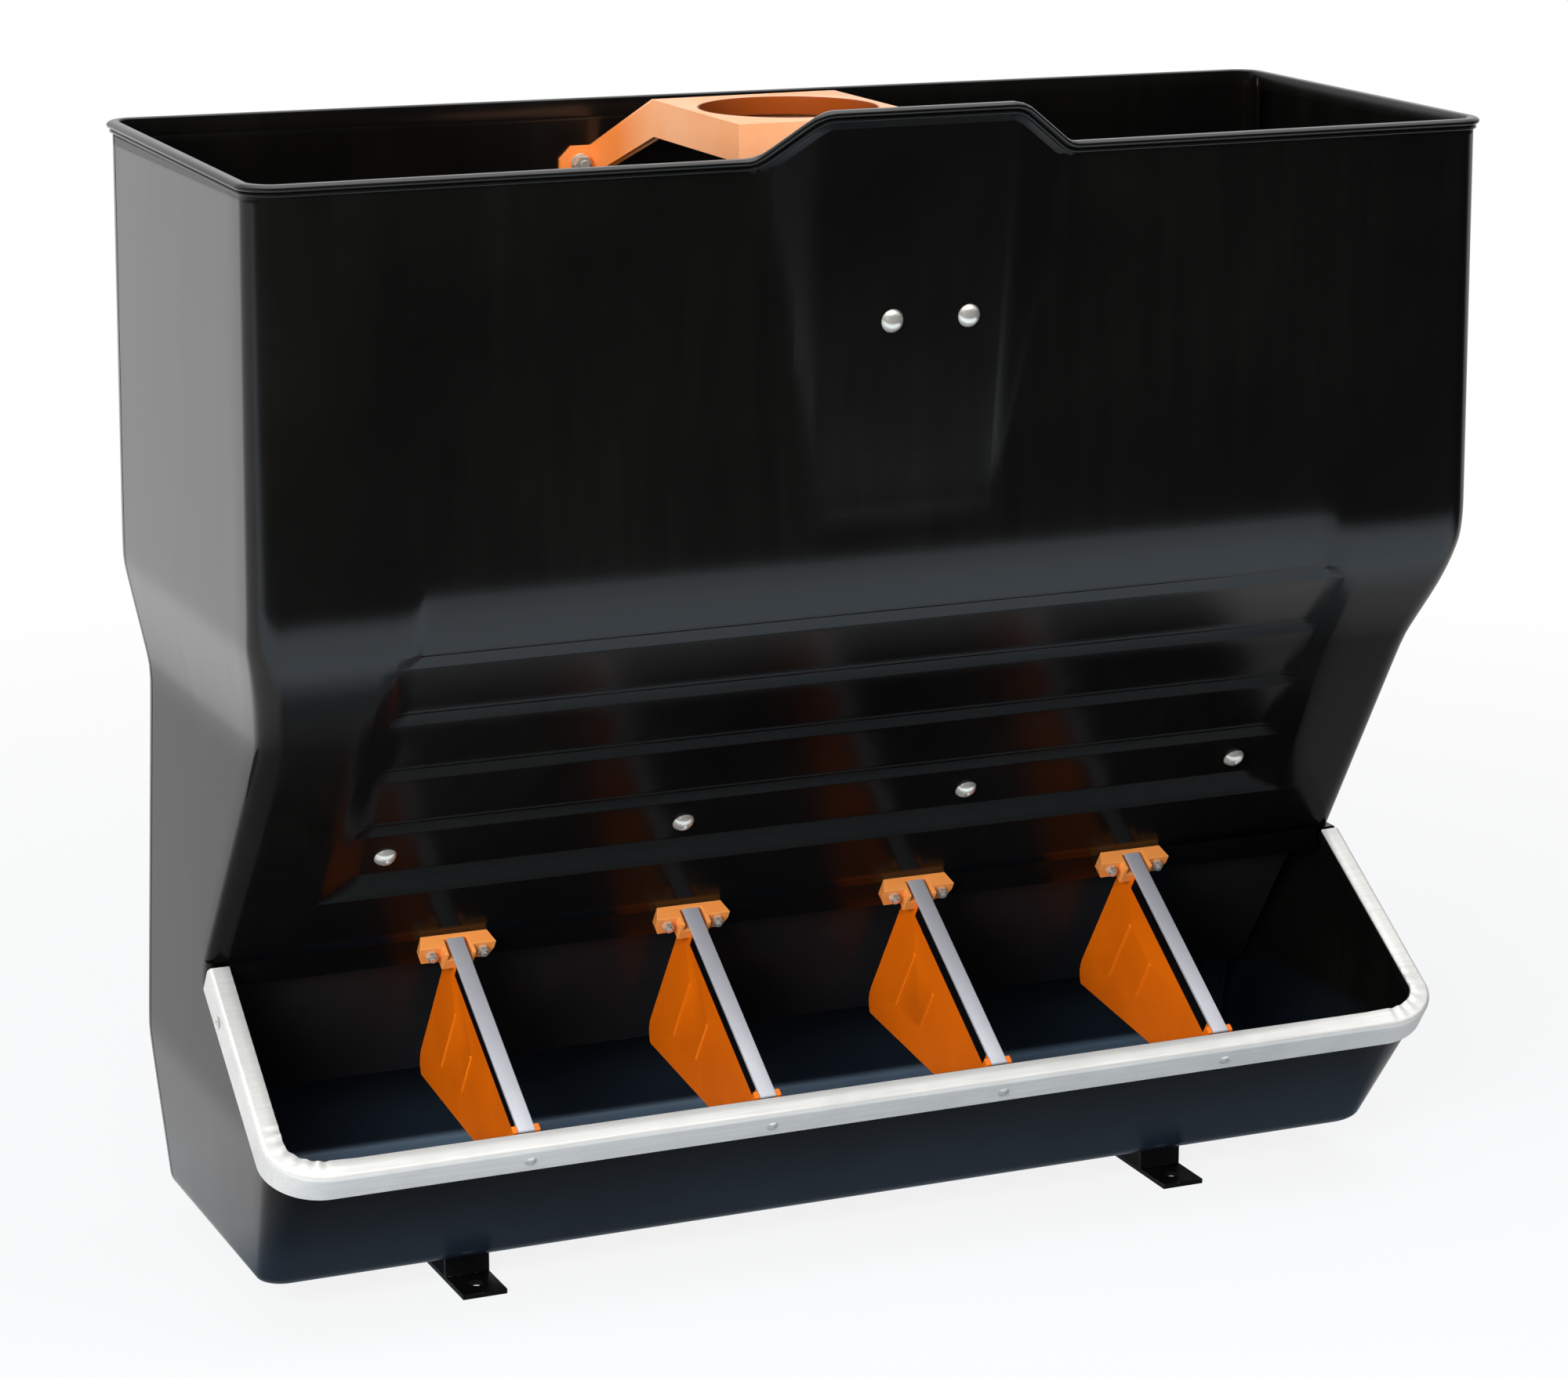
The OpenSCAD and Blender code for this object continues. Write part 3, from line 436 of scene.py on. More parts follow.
@dataclass(frozen=True)
class CoatedSteel(Finish):
    """Steel with a baked coat: a fine orange peel, dull patches, bare sharp edges and painted shade on the wall of a
    bore.

    The bore is given by the place of its axis and its radius; a radius of 0 means none. The coat may turn from the dull
    colour to the plain one along y, between the two places given for the painted sheen; on the ring the plain colour is
    paler than the paint, a painted sheen on its front.
    """
    shade: Colour = (0.8, 0.25, 0.04)
    dull: Colour = (0.62, 0.17, 0.02)
    bare: Colour = (0.5, 0.48, 0.45)
    gloss: tuple[float, float] = (0.32, 0.5)
    wear: float = 0.6
    bore: tuple[float, float, float] = (0.0, 0.0, 0.0)
    bore_shade: Colour = (0.3, 0.055, 0.006)
    painted_sheen_fade: tuple[float, float] | None = None
    sheen: float = 0.5

    def paint(self, sheet: ShaderSheet) -> None:
        """Draws the coat in nodes."""
        patches = sheet.noise(sheet.place, 11.0, 5.0, 0.6)
        peel = sheet.noise(sheet.place, 420.0, 2.0)
        chips = sheet.noise(sheet.place, 140.0, 4.0, 0.7)
        dull_and_sheenless = sheet.spread(patches, 0.4, 0.75, 0.0, 0.5 if self.painted_sheen_fade else 0.8)
        # painted sheen: the paler plain colour at the front fades out to the dull colour along y
        if self.painted_sheen_fade:
            dull_and_sheenless = sheet.math("MAXIMUM", dull_and_sheenless, sheet.spread(sheet.parts(sheet.place)[1], *self.painted_sheen_fade, 1.0, 0.0))
        body = sheet.mix(dull_and_sheenless, self.shade, self.dull)
        chipped = sheet.math("MULTIPLY", sheet.edges(0.001, 0.2), sheet.spread(chips, 0.52, 0.62, 0.0, self.wear))
        # painted shade on the wall of the bore
        if self.bore[2]:
            body = sheet.mix(self.in_bore(sheet), body, self.bore_shade)
        low, high = self.gloss
        sheet.set(Base_Color=sheet.mix(chipped, body, self.bare),
                  Roughness=sheet.spread(patches, 0.3, 0.7, low, high),
                  Specular_IOR_Level=self.sheen,
                  Normal=sheet.bump(peel, 0.00008, 0.5))

    def in_bore(self, sheet: ShaderSheet) -> Socket:
        """Finds the wall of the bore, which gets painted shade.

        Args:
            sheet: The coat's sheet.

        Returns:
            1 on the wall and 0 elsewhere.
        """
        across, along, _ = sheet.parts(sheet.place)
        x, y, radius = self.bore
        aside, ahead = sheet.math("SUBTRACT", across, x), sheet.math("SUBTRACT", along, y)
        square = sheet.math("ADD", sheet.math("MULTIPLY", aside, aside), sheet.math("MULTIPLY", ahead, ahead))
        return sheet.spread(square, (radius + 0.0008) ** 2, (radius + 0.002) ** 2, 1.0, 0.0)


SHELL = MouldedPlastic("black_moulded_plastic", "shell_plastic")
TRIM = BrushedSteel("brushed_lip_steel", "trim_steel", shade=(0.66, 0.65, 0.625), stain=(0.5, 0.49, 0.47),
                    metal=0.25, fine=450.0, gloss=(0.3, 0.45))
PANEL = ColouredPlastic("divider_orange_plastic", "divider_orange")
BLOCK = ColouredPlastic("block_orange_plastic", "block_orange", shade=(0.90, 0.31, 0.07), pale=(0.94, 0.44, 0.14),
                        scuff=(0.8, 0.24, 0.045))
BAR = BrushedSteel("bar_steel_drawn", "bar_steel", shade=(0.48, 0.48, 0.52), stain=(0.4, 0.4, 0.43),
                   brushed=Axis.Y, gloss=(0.32, 0.5), metal=0.25)
GATE = CoatedSteel("gate_black_coat", "gate_black", shade=(0.012, 0.012, 0.013), dull=(0.02, 0.02, 0.02),
                   bare=(0.2, 0.2, 0.2), sheen=0.12)
PLATE = BrushedSteel("plate_steel_rolled", "plate_steel", shade=(0.5, 0.5, 0.49), stain=(0.36, 0.36, 0.35),
                     brushed=Axis.Z)
BUSH = ColouredPlastic("bush_pale_plastic", "bush_plastic", shade=(0.7, 0.69, 0.64), pale=(0.8, 0.79, 0.75),
                       scuff=(0.55, 0.53, 0.48))
GRIP = ColouredPlastic("grip_orange_plastic", "grip_orange", shade=(0.80, 0.24, 0.01), pale=(0.9, 0.4, 0.07),
                       scuff=(0.6, 0.15, 0.008))
# The ring's plain colour is paler than its orange paint: a painted sheen on its front, which fades to the dull orange
# on the arms; the wall of its bore gets painted shade.
RING = CoatedSteel("ring_orange_coat", "ring_orange", shade=(0.92, 0.45, 0.23), dull=(0.87, 0.24, 0.05), wear=0.35,
                   bore=(0.0, 0.041, 0.069), painted_sheen_fade=(0.165, 0.12))
FOOT = CoatedSteel("foot_black_coat", "foot_black", shade=(0.003, 0.003, 0.003), dull=(0.006, 0.006, 0.006),
                   bare=(0.25, 0.24, 0.22), wear=0.4, sheen=0.15)
# painted shade: a black strip under each divider's bar, standing for the shaded gap between bar and sheet
GAP_SHADE = CoatedSteel("painted_gap_shade", "foot_black", shade=(0.003, 0.003, 0.003), dull=(0.005, 0.005, 0.005),
                   bare=(0.01, 0.01, 0.01), sheen=0.1)
SCREW = BrushedSteel("polished_fastener_steel", "fastener_steel", shade=(0.84, 0.81, 0.74), stain=(0.6, 0.57, 0.5),
                     gloss=(0.17, 0.3), fine=300.0, metal=0.75)


@dataclass(frozen=True)
class FeederForm:
    """Main sizes of the moulded body in metres, and the faces that follow from them."""
    rim_half: float
    back_y: float
    tilt: float
    rim_depth: float = 0.380
    rim_height: float = 0.878
    bead_r: float = 0.0045
    wall: float = 0.005
    corner_r: float = 0.024
    lip_corner_r: float = 0.018
    back_r: float = 0.020
    flare: float = 0.0045
    shoulder_z: float = 0.545
    waist_z: float = 0.457
    waist_in: float = 0.019
    foot_spread: float = 0.012
    foot_z: float = 0.164
    toe_in: float = 0.015
    crease: float = 0.007
    bend_z: float = 0.535
    bend: float = 0.042
    lip_z: float = 0.264
    slope_t: float = 0.016
    skirt: float = 0.031
    base_z: float = 0.026
    toe_set: float = 0.112
    toe_lean: float = math.radians(38.7)
    toe_r: float = 0.045
    toe_foot_r: float = 0.018
    toe_round_z: float = 0.15
    base_r: float = 0.013
    seam_set: float = 0.028
    hinge_set: float = 0.03

    @classmethod
    def of_frame(cls, frame: dict) -> "FeederForm":
        """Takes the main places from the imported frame.


        Returns:
            The form that fits the frame.
        """
        bead = cls.bead_r
        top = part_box("rear_panel")[1]
        slide = next(j for j in frame["record"]["behaviour"]["joints"] if j["name"] == "gate_slide")
        return cls(rim_half=top.x - bead, back_y=top.y - bead, tilt=math.asin(-slide["axis"][1]))

    @property
    def wall_top(self) -> float:
        """Height of the rolled rim's middle."""
        return self.rim_height - self.bead_r

    @property
    def front_y(self) -> float:
        """Place of the rim's front."""
        return self.back_y + self.bead_r - self.rim_depth

    @property
    def wall_face(self) -> float:
        """Place of the upright front wall's face."""
        return self.front_y + self.bead_r

    @property
    def seam_y(self) -> float:
        """Place of the seam between shell and rear panel."""
        return self.front_y + self.rim_depth - self.seam_set

    @property
    def hinge_y(self) -> float:
        """Place behind which the sides keep their depth at every height."""
        return self.seam_y - self.hinge_set

    @property
    def lip_y(self) -> float:
        """Place where the slope meets the mouth."""
        return self.wall_y(self.lip_z)

    @property
    def slope_frame(self) -> Matrix:
        """The slope's own frame: Y into the hopper, Z up along the slope, the mouth at Z = 0."""
        return Matrix.Translation((0, self.lip_y, self.lip_z)) @ Matrix.Rotation(self.tilt, 4, "X")

    @property
    def mouth_l(self) -> float:
        """Length of the mouth from the slope to the trough's front edge."""
        lean = math.tan(self.toe_lean)
        return (self.lip_y - self.toe_y(self.lip_z)) / (math.cos(self.tilt) + lean * math.sin(self.tilt))

    def half_width(self, z: float) -> float:
        """Gives the body's half width, as straight stretches with softened creases.

        Args:
            z: Height.

        Returns:
            The half width there.
        """
        flare = self.flare / (self.rim_height - self.shoulder_z)
        step = self.waist_in / (self.shoulder_z - self.waist_z)
        foot = self.foot_spread / (self.waist_z - self.foot_z)
        toe = self.toe_in / (self.foot_z - self.base_z)
        return (self.rim_half + flare * (self.rim_height - z)
                - (flare + step) * soft(self.shoulder_z - z, self.crease)
                + (step + foot) * soft(self.waist_z - z, self.crease)
                - (foot + toe) * soft(self.foot_z - z, self.crease))

    def wall_y(self, z: float) -> float:
        """Front face of the hopper at a height."""
        return self.wall_face + math.tan(self.tilt) * eased(self.bend_z - z, self.bend)

    def toe_y(self, z: float) -> float:
        """Front face of the trough at a height."""
        return self.front_y + self.toe_set - math.tan(self.toe_lean) * (z - self.base_z)

    def on_slope(self, y: float, z: float) -> tuple[float, float]:
        """Measures a place from the slope's plane.

        Args:
            y: Place from front to back.
            z: Height.

        Returns:
            The depth behind the plane and the distance up it.
        """
        dy, dz = y - self.lip_y, z - self.lip_z
        c, s = math.cos(self.tilt), math.sin(self.tilt)
        return dy * c + dz * s, dz * c - dy * s

    def mouth_outline(self) -> list[Vector]:
        """Gives the trough's mouth in the slope's frame, from its left back end round to the right one.

        Returns:
            Points in the mouth's plane.
        """
        back = self.half_width(self.lip_z)
        ry = self.toe_r / (math.cos(self.tilt) * (1 + math.tan(self.toe_lean) * math.tan(self.tilt)))
        turn = -(self.mouth_l - ry)
        front = self.half_width(self.lip_z + turn * math.sin(self.tilt))
        side = [Vector((back + (front - back) * t, turn * t, 0)) for t in steps(0.02, 0.98, 0.012)]
        arc = [Vector((front - self.toe_r + self.toe_r * math.cos(a), turn - ry * math.sin(a), 0))
               for a in steps(0.0, math.pi / 2, math.radians(3))]
        right = side + arc
        left = [Vector((-p.x, p.y, 0)) for p in right]
        edge = [Vector((x, -self.mouth_l, 0)) for x in steps(left[-1].x, right[-1].x, 0.02)[1:-1]]
        return left + edge + right[::-1]


def cut_rows(bm: BMesh, axis: Axis, places: Iterable[float]) -> None:
    """Cuts rows of edges across a mesh.

    Args:
        bm: Mesh to cut.
        axis: Axis that the rows stand across.
        places: Places along that axis.
    """
    for place in places:
        bmesh.ops.bisect_plane(bm, geom=bm.verts[:] + bm.edges[:] + bm.faces[:], dist=MERGE,
                               plane_co=Vector(axis.value) * place, plane_no=axis.value)


def verts_of(geom: Iterable[object]) -> list[BMVert]:
    """Picks the corners out of what an operator made."""
    return [g for g in geom if isinstance(g, BMVert)]


def link_mesh(name: str, bm: BMesh) -> Object:
    """Makes a mesh into an object of the scene.

    Args:
        name: Name of both.
        bm: The mesh, which is used up.

    Returns:
        The object.
    """
    mesh = bpy.data.meshes.new(name)
    bm.to_mesh(mesh)
    bm.free()
    made = bpy.data.objects.new(name, mesh)
    bpy.context.scene.collection.objects.link(made)
    return made


def block(low: Vector, high: Vector) -> BMesh:
    """Starts a mesh as a box.

    Args:
        low: Lowest corner.
        high: Highest corner.

    Returns:
        The mesh.
    """
    bm = bmesh.new()
    bmesh.ops.create_cube(bm, size=1.0)
    bmesh.ops.scale(bm, vec=high - low, verts=bm.verts)
    bmesh.ops.translate(bm, vec=(low + high) / 2, verts=bm.verts)
    return bm


def is_upright(edge: BMEdge) -> bool:
    """Tells whether an edge stands upright."""
    return abs(edge.verts[0].co.z - edge.verts[1].co.z) > 0.1


def round_edges(bm: BMesh, wanted: Callable[[BMEdge], bool], radius: float, segments: int) -> None:
    """Rounds the edges of a mesh that a test picks.

    Args:
        bm: Mesh to change.
        wanted: Test of an edge.
        radius: Size of the rounding.
        segments: Faces across it.
    """
    bmesh.ops.bevel(bm, geom=[e for e in bm.edges if wanted(e)], offset=radius, offset_type="OFFSET",
                    segments=segments, profile=0.5, affect="EDGES", material=-1, clamp_overlap=True)


def sweep(profile: Sequence[tuple[float, float]], stations: Sequence[Matrix], ring: bool) -> BMesh:
    """Draws a closed profile along a path.

    Args:
        profile: Points of the profile in the station's X and Y.
        stations: Frames along the path.
        ring: Whether the path closes on itself.

    Returns:
        The swept mesh, with its ends closed.
    """
    bm = bmesh.new()
    start = [bm.verts.new(stations[0] @ Vector((x, y, 0))) for x, y in profile]
    edges = [bm.edges.new((a, b)) for a, b in zip(start, start[1:] + start[:1])]
    if not ring:
        bmesh.ops.contextual_create(bm, geom=edges)
    path = [*stations, stations[0]] if ring else stations
    for before, after in zip(path, path[1:]):
        made = bmesh.ops.extrude_edge_only(bm, edges=edges)["geom"]
        bmesh.ops.transform(bm, matrix=after @ before.inverted(), verts=verts_of(made))
        edges = [g for g in made if isinstance(g, BMEdge) and all(v in made for v in g.verts)]
    if not ring:
        bmesh.ops.contextual_create(bm, geom=edges)
    bmesh.ops.remove_doubles(bm, verts=bm.verts, dist=MERGE)
    bmesh.ops.recalc_face_normals(bm, faces=bm.faces)
    return bm


def stations_along(points: Sequence[Vector], up: Vector, ring: bool) -> list[Matrix]:
    """Sets a frame at each point of a path: X to the path's right, Y up, Z along it.

    Args:
        points: The path.
        up: Direction that Y leans towards.
        ring: Whether the path closes on itself.

    Returns:
        One frame for each point.
    """
    frames = []
    last = len(points) - 1
    for i, point in enumerate(points):
        before = points[i - 1] if i or ring else point
        after = points[(i + 1) % len(points)] if i < last or ring else point
        along = (after - before).normalized()
        right = along.cross(up).normalized()
        over = right.cross(along)
        frames.append(Matrix.Translation(point) @ Matrix((right, over, along)).transposed().to_4x4())
    return frames


@dataclass
class SubAssembly:
    """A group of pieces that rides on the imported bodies."""
    frame: dict
    form: FeederForm

    def place(self, name: str, bm: BMesh, finish: Finish, body: Body, nodes: Sequence[str] = (),
              crease: float = CREASE) -> Object:
        """Makes a mesh into a finished piece.

        Args:
            name: Name of the piece.
            bm: Its mesh, which is used up.
            finish: Its finish.
            body: The body that it rides on.
            nodes: The CAD nodes that it stands for.
            crease: Angle in degrees over which an edge stays sharp.

        Returns:
            The piece.
        """
        piece = link_mesh(name, bm)
        mesh = piece.data
        mesh.shade_smooth()
        mesh.set_sharp_from_angle(angle=math.radians(crease))
        mesh.materials.append(finish.material())
        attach(piece, body.value)
        if nodes:
            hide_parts(*nodes)
        LOG.info("%s: %d faces on %s", name, len(mesh.polygons), body.value)
        return piece

    def carry(self, node: str, finish: Finish, body: Body, edge: float, segments: int = 2,
              shape: Callable[[BMesh], None] | None = None) -> Object:
        """Makes a finished piece from a CAD node, with its sharp edges broken.

        Args:
            node: The CAD node.
            finish: Its finish.
            body: The body that it rides on.
            edge: Width of the broken edges.
            segments: Faces across them.
            shape: A change to make to the mesh.

        Returns:
            The piece.
        """
        bm = bmesh.new()
        bm.from_mesh(self.frame["nodes"][node].data)
        bmesh.ops.remove_doubles(bm, verts=bm.verts, dist=MERGE)
        bmesh.ops.dissolve_limit(bm, angle_limit=math.radians(1.0), verts=bm.verts, edges=bm.edges)
        if shape is not None:
            shape(bm)
        piece = self.place(f"{node}_dressed", bm, finish, body, [node])
        broken = piece.modifiers.new("broken_edges", "BEVEL")
        broken.width = edge
        broken.segments = segments
        broken.limit_method = "ANGLE"
        broken.angle_limit = math.radians(CREASE)
        broken.harden_normals = True
        return piece


@dataclass
class MouldedBody(SubAssembly):
    """The moulded hopper with its louvers and peak, the trough, the stiffened slope and the rolled rim."""
    peak_rise: float = 0.0355
    peak_out: float = 0.032
    peak_x: float = 0.002
    peak_skew: float = 0.008
    peak_half: float = 0.079
    peak_foot_half: float = 0.072
    peak_base_half: float = 0.125
    peak_foot_z: float = 0.6105
    louver_count: int = 4
    louver_top: float = 0.316
    louver_pitch: float = 0.0616
    louver_depth: float = 0.009
    louver_relief: float = 0.0035
    louver_face: float = 0.008
    louver_bead: float = 0.0009
    bead_at: tuple[float, float, float] = (0.0038, 0.002, 0.0004)
    louver_half: float = 0.370
    louver_taper: float = 0.049
    louver_end: float = 0.030
    entry_over: float = 0.033
    entry_soft: float = 0.008
    entry_reach: float = 0.05
    entry_end: float = 0.012
    ledge: float = 0.058
    ledge_face: float = 0.019
    crisp: float = 0.0009
    peak_round: tuple[float, ...] = (-0.006, -0.003, 0.0, 0.003, 0.006)
    floor_round: tuple[float, ...] = (-0.0004, 0.0, 0.0004)
    weld: float = 5e-5
    side_pitch: float = 0.03
    row_pitch: tuple[float, float, float] = (0.012, 0.004, 0.009)
    fine_rows: tuple[float, float] = (-0.03, 0.05)
    column_pitch: tuple[float, float] = (0.016, 0.006)
    fine_columns: tuple[float, float] = (-0.135, 0.15)
    seam_depth: float = 0.0012
    roll_h: float = 0.0029
    under_roll: float = 0.0046
    under_roll_r: tuple[float, float] = (0.0024, 0.0015)
    upstand: float = 0.011
    edge_r: float = 0.0014
    back_lift: tuple[float, float] = (0.006, 0.001)
    profile: list[tuple[float, float]] = field(default_factory=list)
    entry_at: float = 0.0

    def __post_init__(self) -> None:
        """Works out the louvers' profile as distance up the slope and depth."""
        form = self.form
        depth, along = form.on_slope(form.wall_face, form.bend_z + self.entry_over)
        self.entry_at = along
        over, crown, under = self.bead_at
        low = self.louver_top + over
        on = (depth - self.louver_depth) / (along - low)
        self.profile = [(along + self.entry_reach, depth + on * self.entry_reach)]
        for i in range(self.louver_count):
            at = self.louver_top - i * self.louver_pitch
            deep = self.louver_depth
            self.profile += [(at + over, deep), (at + crown, deep - self.louver_bead), (at + under, deep),
                             (at - self.louver_face, deep - self.louver_relief)]
        self.profile += [(self.ledge + self.ledge_face, self.louver_depth), (self.ledge, 0.0)]

    def build(self) -> None:
        """Builds every piece of the moulded body."""
        self.build_skin()
        self.build_slope_back()
        self.build_rim()
        self.build_flange()

    def entry(self, along: float) -> float:
        """Gives the depth of the louvered panel's ends, before they rise to its sides.

        Args:
            along: Distance up the slope.

        Returns:
            The depth there.
        """
        (top, high), (low, deep) = self.profile[:2]
        return deep + (high - deep) * limit((along - low) / (top - low))

    def row_at(self, along: float) -> float:
        """Finds the height at which the front wall is at a distance up the slope.

        Args:
            along: Distance up the slope.

        Returns:
            The height.
        """
        low, high = self.form.lip_z - 0.01, self.form.wall_top
        for _ in range(40):
            middle = (low + high) / 2
            if self.form.on_slope(self.form.wall_y(middle), middle)[1] < along:
                low = middle
            else:
                high = middle
        return low

    def widened(self, x: float, along: float, edge: float) -> float:
        """Moves a place across the slope outwards, as the louvered panel is wider at its foot.

        Args:
            x: Distance from the middle.
            along: Distance up the slope.
            edge: Distance of the slope's side, which stays.

        Returns:
            The new distance from the middle.
        """
        shift = self.louver_taper * max(0.0, self.louver_top - along)
        if x <= self.louver_half:
            return x * (1 + shift / self.louver_half)
        reach = self.louver_half + self.louver_end
        return x + shift * limit((edge - x) / (edge - reach))

    def recess(self, along: float) -> float:
        """Gives the depth of the louvered panel's floor.

        Args:
            along: Distance up the slope.

        Returns:
            The depth there, or -1 outside the panel.
        """
        if not self.profile[-1][0] <= along <= self.profile[0][0]:
            return -1.0
        for (n0, d0), (n1, d1) in zip(self.profile, self.profile[1:]):
            if along >= n1:
                return d1 + (d0 - d1) * (along - n1) / (n0 - n1)
        return -1.0

    def rise(self, x: float) -> float:
        """Gives the rise of the rim over its common height, from the peak.

        Args:
            x: Place across the body.

        Returns:
            The rise there, with rounded corners.
        """
        def line(at: float) -> float:
            """Rise with sharp corners."""
            right, skew = at - self.peak_x, self.peak_skew
            base, tip = self.peak_base_half, self.peak_half
            return self.peak_rise * limit(min((right - skew + base) / (base - skew - tip),
                                              (skew + base - right) / (base + skew - tip)))
        return sum(line(x + d) for d in self.peak_round) / len(self.peak_round)

    def bulge(self, x: float, z: float) -> float:
        """Gives the reach of the bulge under the peak.

        Args:
            x: Place across the body.
            z: Height.

        Returns:
            How far the bulge stands ahead of the upright wall.
        """
        low, top = self.peak_foot_z, self.form.wall_top
        tip_z = top + self.peak_rise - low
        reach = self.peak_out * (z - low) / tip_z
        for side in (-1, 1):
            across = side * (x - self.peak_x) - self.peak_foot_half
            rim = self.peak_base_half + side * self.peak_skew - self.peak_foot_half
            tip = self.peak_half - self.peak_foot_half
            up = self.peak_out / (tip_z - (top - low) * tip / rim)
            flank = up * (z - low) - up * (top - low) / rim * across
            reach = -soft_max(-reach, -flank, 0.0025)
        return soft(reach, 0.002) if reach > -0.02 else 0.0

    def across(self, x: float, half: float, r: float, block_r: float, front: bool) -> float:
        """Moves a distance from the middle of a plain rounded block to the body's own width.

        Args:
            x: Distance from the middle.
            half: Half width of the body.
            r: Radius of its front corner.
            block_r: Radius of the block's front corner.
            front: Whether the point lies at the front or in its corner.

        Returns:
            The new distance.
        """
        width = self.form.rim_half
        if not front:
            return x * (half / width)
        if x <= width - block_r:
            return x * ((half - r) / (width - block_r))
        return half - r + (x - width + block_r) * r / block_r

    def hopper_point(self, p: Vector) -> Vector:
        """Moves a point of the plain rounded block to its place on the hopper.

        Args:
            p: Point of the block.

        Returns:
            Its place on the hopper.
        """
        form = self.form
        block_r, z = form.corner_r, p.z
        below = limit((form.bend_z - z) / (form.bend_z - form.lip_z))
        r = form.corner_r + (form.lip_corner_r - form.corner_r) * below
        half, face = form.half_width(z), form.wall_y(z)
        front, hinge = p.y < form.wall_face + block_r + NEAR, form.hinge_y
        if self.at_seam(p):
            half -= self.seam_depth
        x, y = self.across(abs(p.x), half, r, block_r, front), p.y
        if front:
            y = face + (y - form.wall_face) * r / block_r
        elif y < hinge:
            share = (y - form.wall_face - block_r) / (hinge - form.wall_face - block_r)
            y = face + r + (hinge - face - r) * share
        x = math.copysign(x, p.x)
        if p.y < form.wall_face + NEAR:
            if z > self.peak_foot_z:
                z += self.rise(x) * (z - self.peak_foot_z) / (form.wall_top - self.peak_foot_z)
                y -= self.bulge(x, z)
            depth, along = form.on_slope(y, z)
            floor = sum(self.recess(along + d) for d in self.floor_round) / len(self.floor_round)
            past = abs(x) - self.louver_half
            if past > 0:
                floor = min(floor, self.entry(along) - past * self.louver_depth / self.louver_end)
            x = math.copysign(self.widened(abs(x), along, half - r), x)
            if floor > -0.04:
                low = self.louver_top + 0.006
                near = limit((along - low) / (self.entry_at - low)) * limit(1 - past / self.entry_end)
                if near > 0:
                    move = eased(floor - depth, 2 * self.crisp + self.entry_soft * near)
                else:
                    move = soft_max(floor, depth, self.crisp) - depth
                y += move * math.cos(form.tilt)
                z += move * math.sin(form.tilt)
        return Vector((x, y, z))

    def columns(self) -> list[float]:
        """Gives the places across the body where the skin is cut into columns."""
        inner = self.form.rim_half - self.form.corner_r
        wide, fine = self.column_pitch
        cols = set(steps(-inner, inner, wide)[1:-1]) | set(steps(*self.fine_columns, fine))
        for side in (-1, 1):
            cols |= {side * (self.louver_half + d) for d in (-0.002, 0.0, 0.002, 0.01, 0.02, self.louver_end, 0.034)}
        return sorted(cols)

    def side_rows(self) -> list[float]:
        """Gives the rows along the hopper's sides, from the front corner to the seam."""
        return steps(self.form.wall_face + self.form.corner_r, self.form.hinge_y, self.side_pitch)

    def seam_rows(self) -> list[float]:
        """Gives the rows round the seam between shell and rear panel."""
        return [self.form.seam_y + d for d in (-0.003, -0.0008, 0.0, 0.0008, 0.003)]

    def at_seam(self, p: Vector) -> bool:
        """Tells whether a point of a plain block lies in the seam."""
        return abs(p.y - self.form.seam_y) < 0.0005 and abs(p.x) > self.form.rim_half - 0.002

    def walls(self, low: Vector, high: Vector, front_r: float, front_segments: int) -> BMesh:
        """Starts a skin as the walls of a block with rounded corners.

        Args:
            low: Lowest corner of the block.
            high: Highest corner of the block.
            front_r: Radius of the front corners.
            front_segments: Faces across them.

        Returns:
            The block, open at the top.
        """
        bm = block(low, high)
        bmesh.ops.delete(bm, geom=[f for f in bm.faces if f.normal.z > 0.5], context="FACES_ONLY")
        round_edges(bm, lambda e: is_upright(e) and e.verts[0].co.y < low.y + CLOSE, front_r, front_segments)
        round_edges(bm, lambda e: is_upright(e) and e.verts[0].co.y > high.y - CLOSE
                    and abs(e.verts[0].co.x) > high.x - CLOSE, self.form.back_r, 7)
        return bm

    def hopper_mesh(self) -> BMesh:
        """Shapes the hopper's outer skin, from the mouth of the trough to the rim."""
        form = self.form
        bm = self.walls(Vector((-form.rim_half, form.wall_face, form.lip_z)),
                        Vector((form.rim_half, form.back_y, form.wall_top)), form.corner_r, 10)
        bmesh.ops.delete(bm, geom=[f for f in bm.faces if f.normal.z < -0.5], context="FACES_ONLY")
        marks = (form.lip_z, *(form.bend_z + d for d in self.fine_rows), form.wall_top)
        rows = {z for low, high, pitch in zip(marks, marks[1:], self.row_pitch) for z in steps(low, high, pitch)}
        for along, _ in self.profile[1:]:
            rows |= {self.row_at(along + d) for d in (-0.0006, 0.0, 0.0006)}
        cut_rows(bm, Axis.Z, sorted(z for z in rows if form.lip_z + CLOSE < z < form.wall_top - CLOSE))
        cut_rows(bm, Axis.X, self.columns())
        cut_rows(bm, Axis.Y, self.side_rows() + self.seam_rows())
        for v in bm.verts:
            v.co = self.hopper_point(v.co)
        return bm

    def build_skin(self) -> Object:
        """Builds the outer skin of hopper and trough as one moulding."""
        bm = self.hopper_mesh()
        lower = self.trough_mesh()
        trough = bpy.data.meshes.new("trough_part")
        lower.to_mesh(trough)
        lower.free()
        bm.from_mesh(trough)
        bpy.data.meshes.remove(trough)
        bmesh.ops.remove_doubles(bm, verts=bm.verts, dist=self.weld)
        self.close_shoulders(bm)
        bmesh.ops.recalc_face_normals(bm, faces=bm.faces)
        return self.thicken(self.place("moulded_skin", bm, SHELL, Body.FEEDER, ["front_shell", "rear_panel"], 50.0))

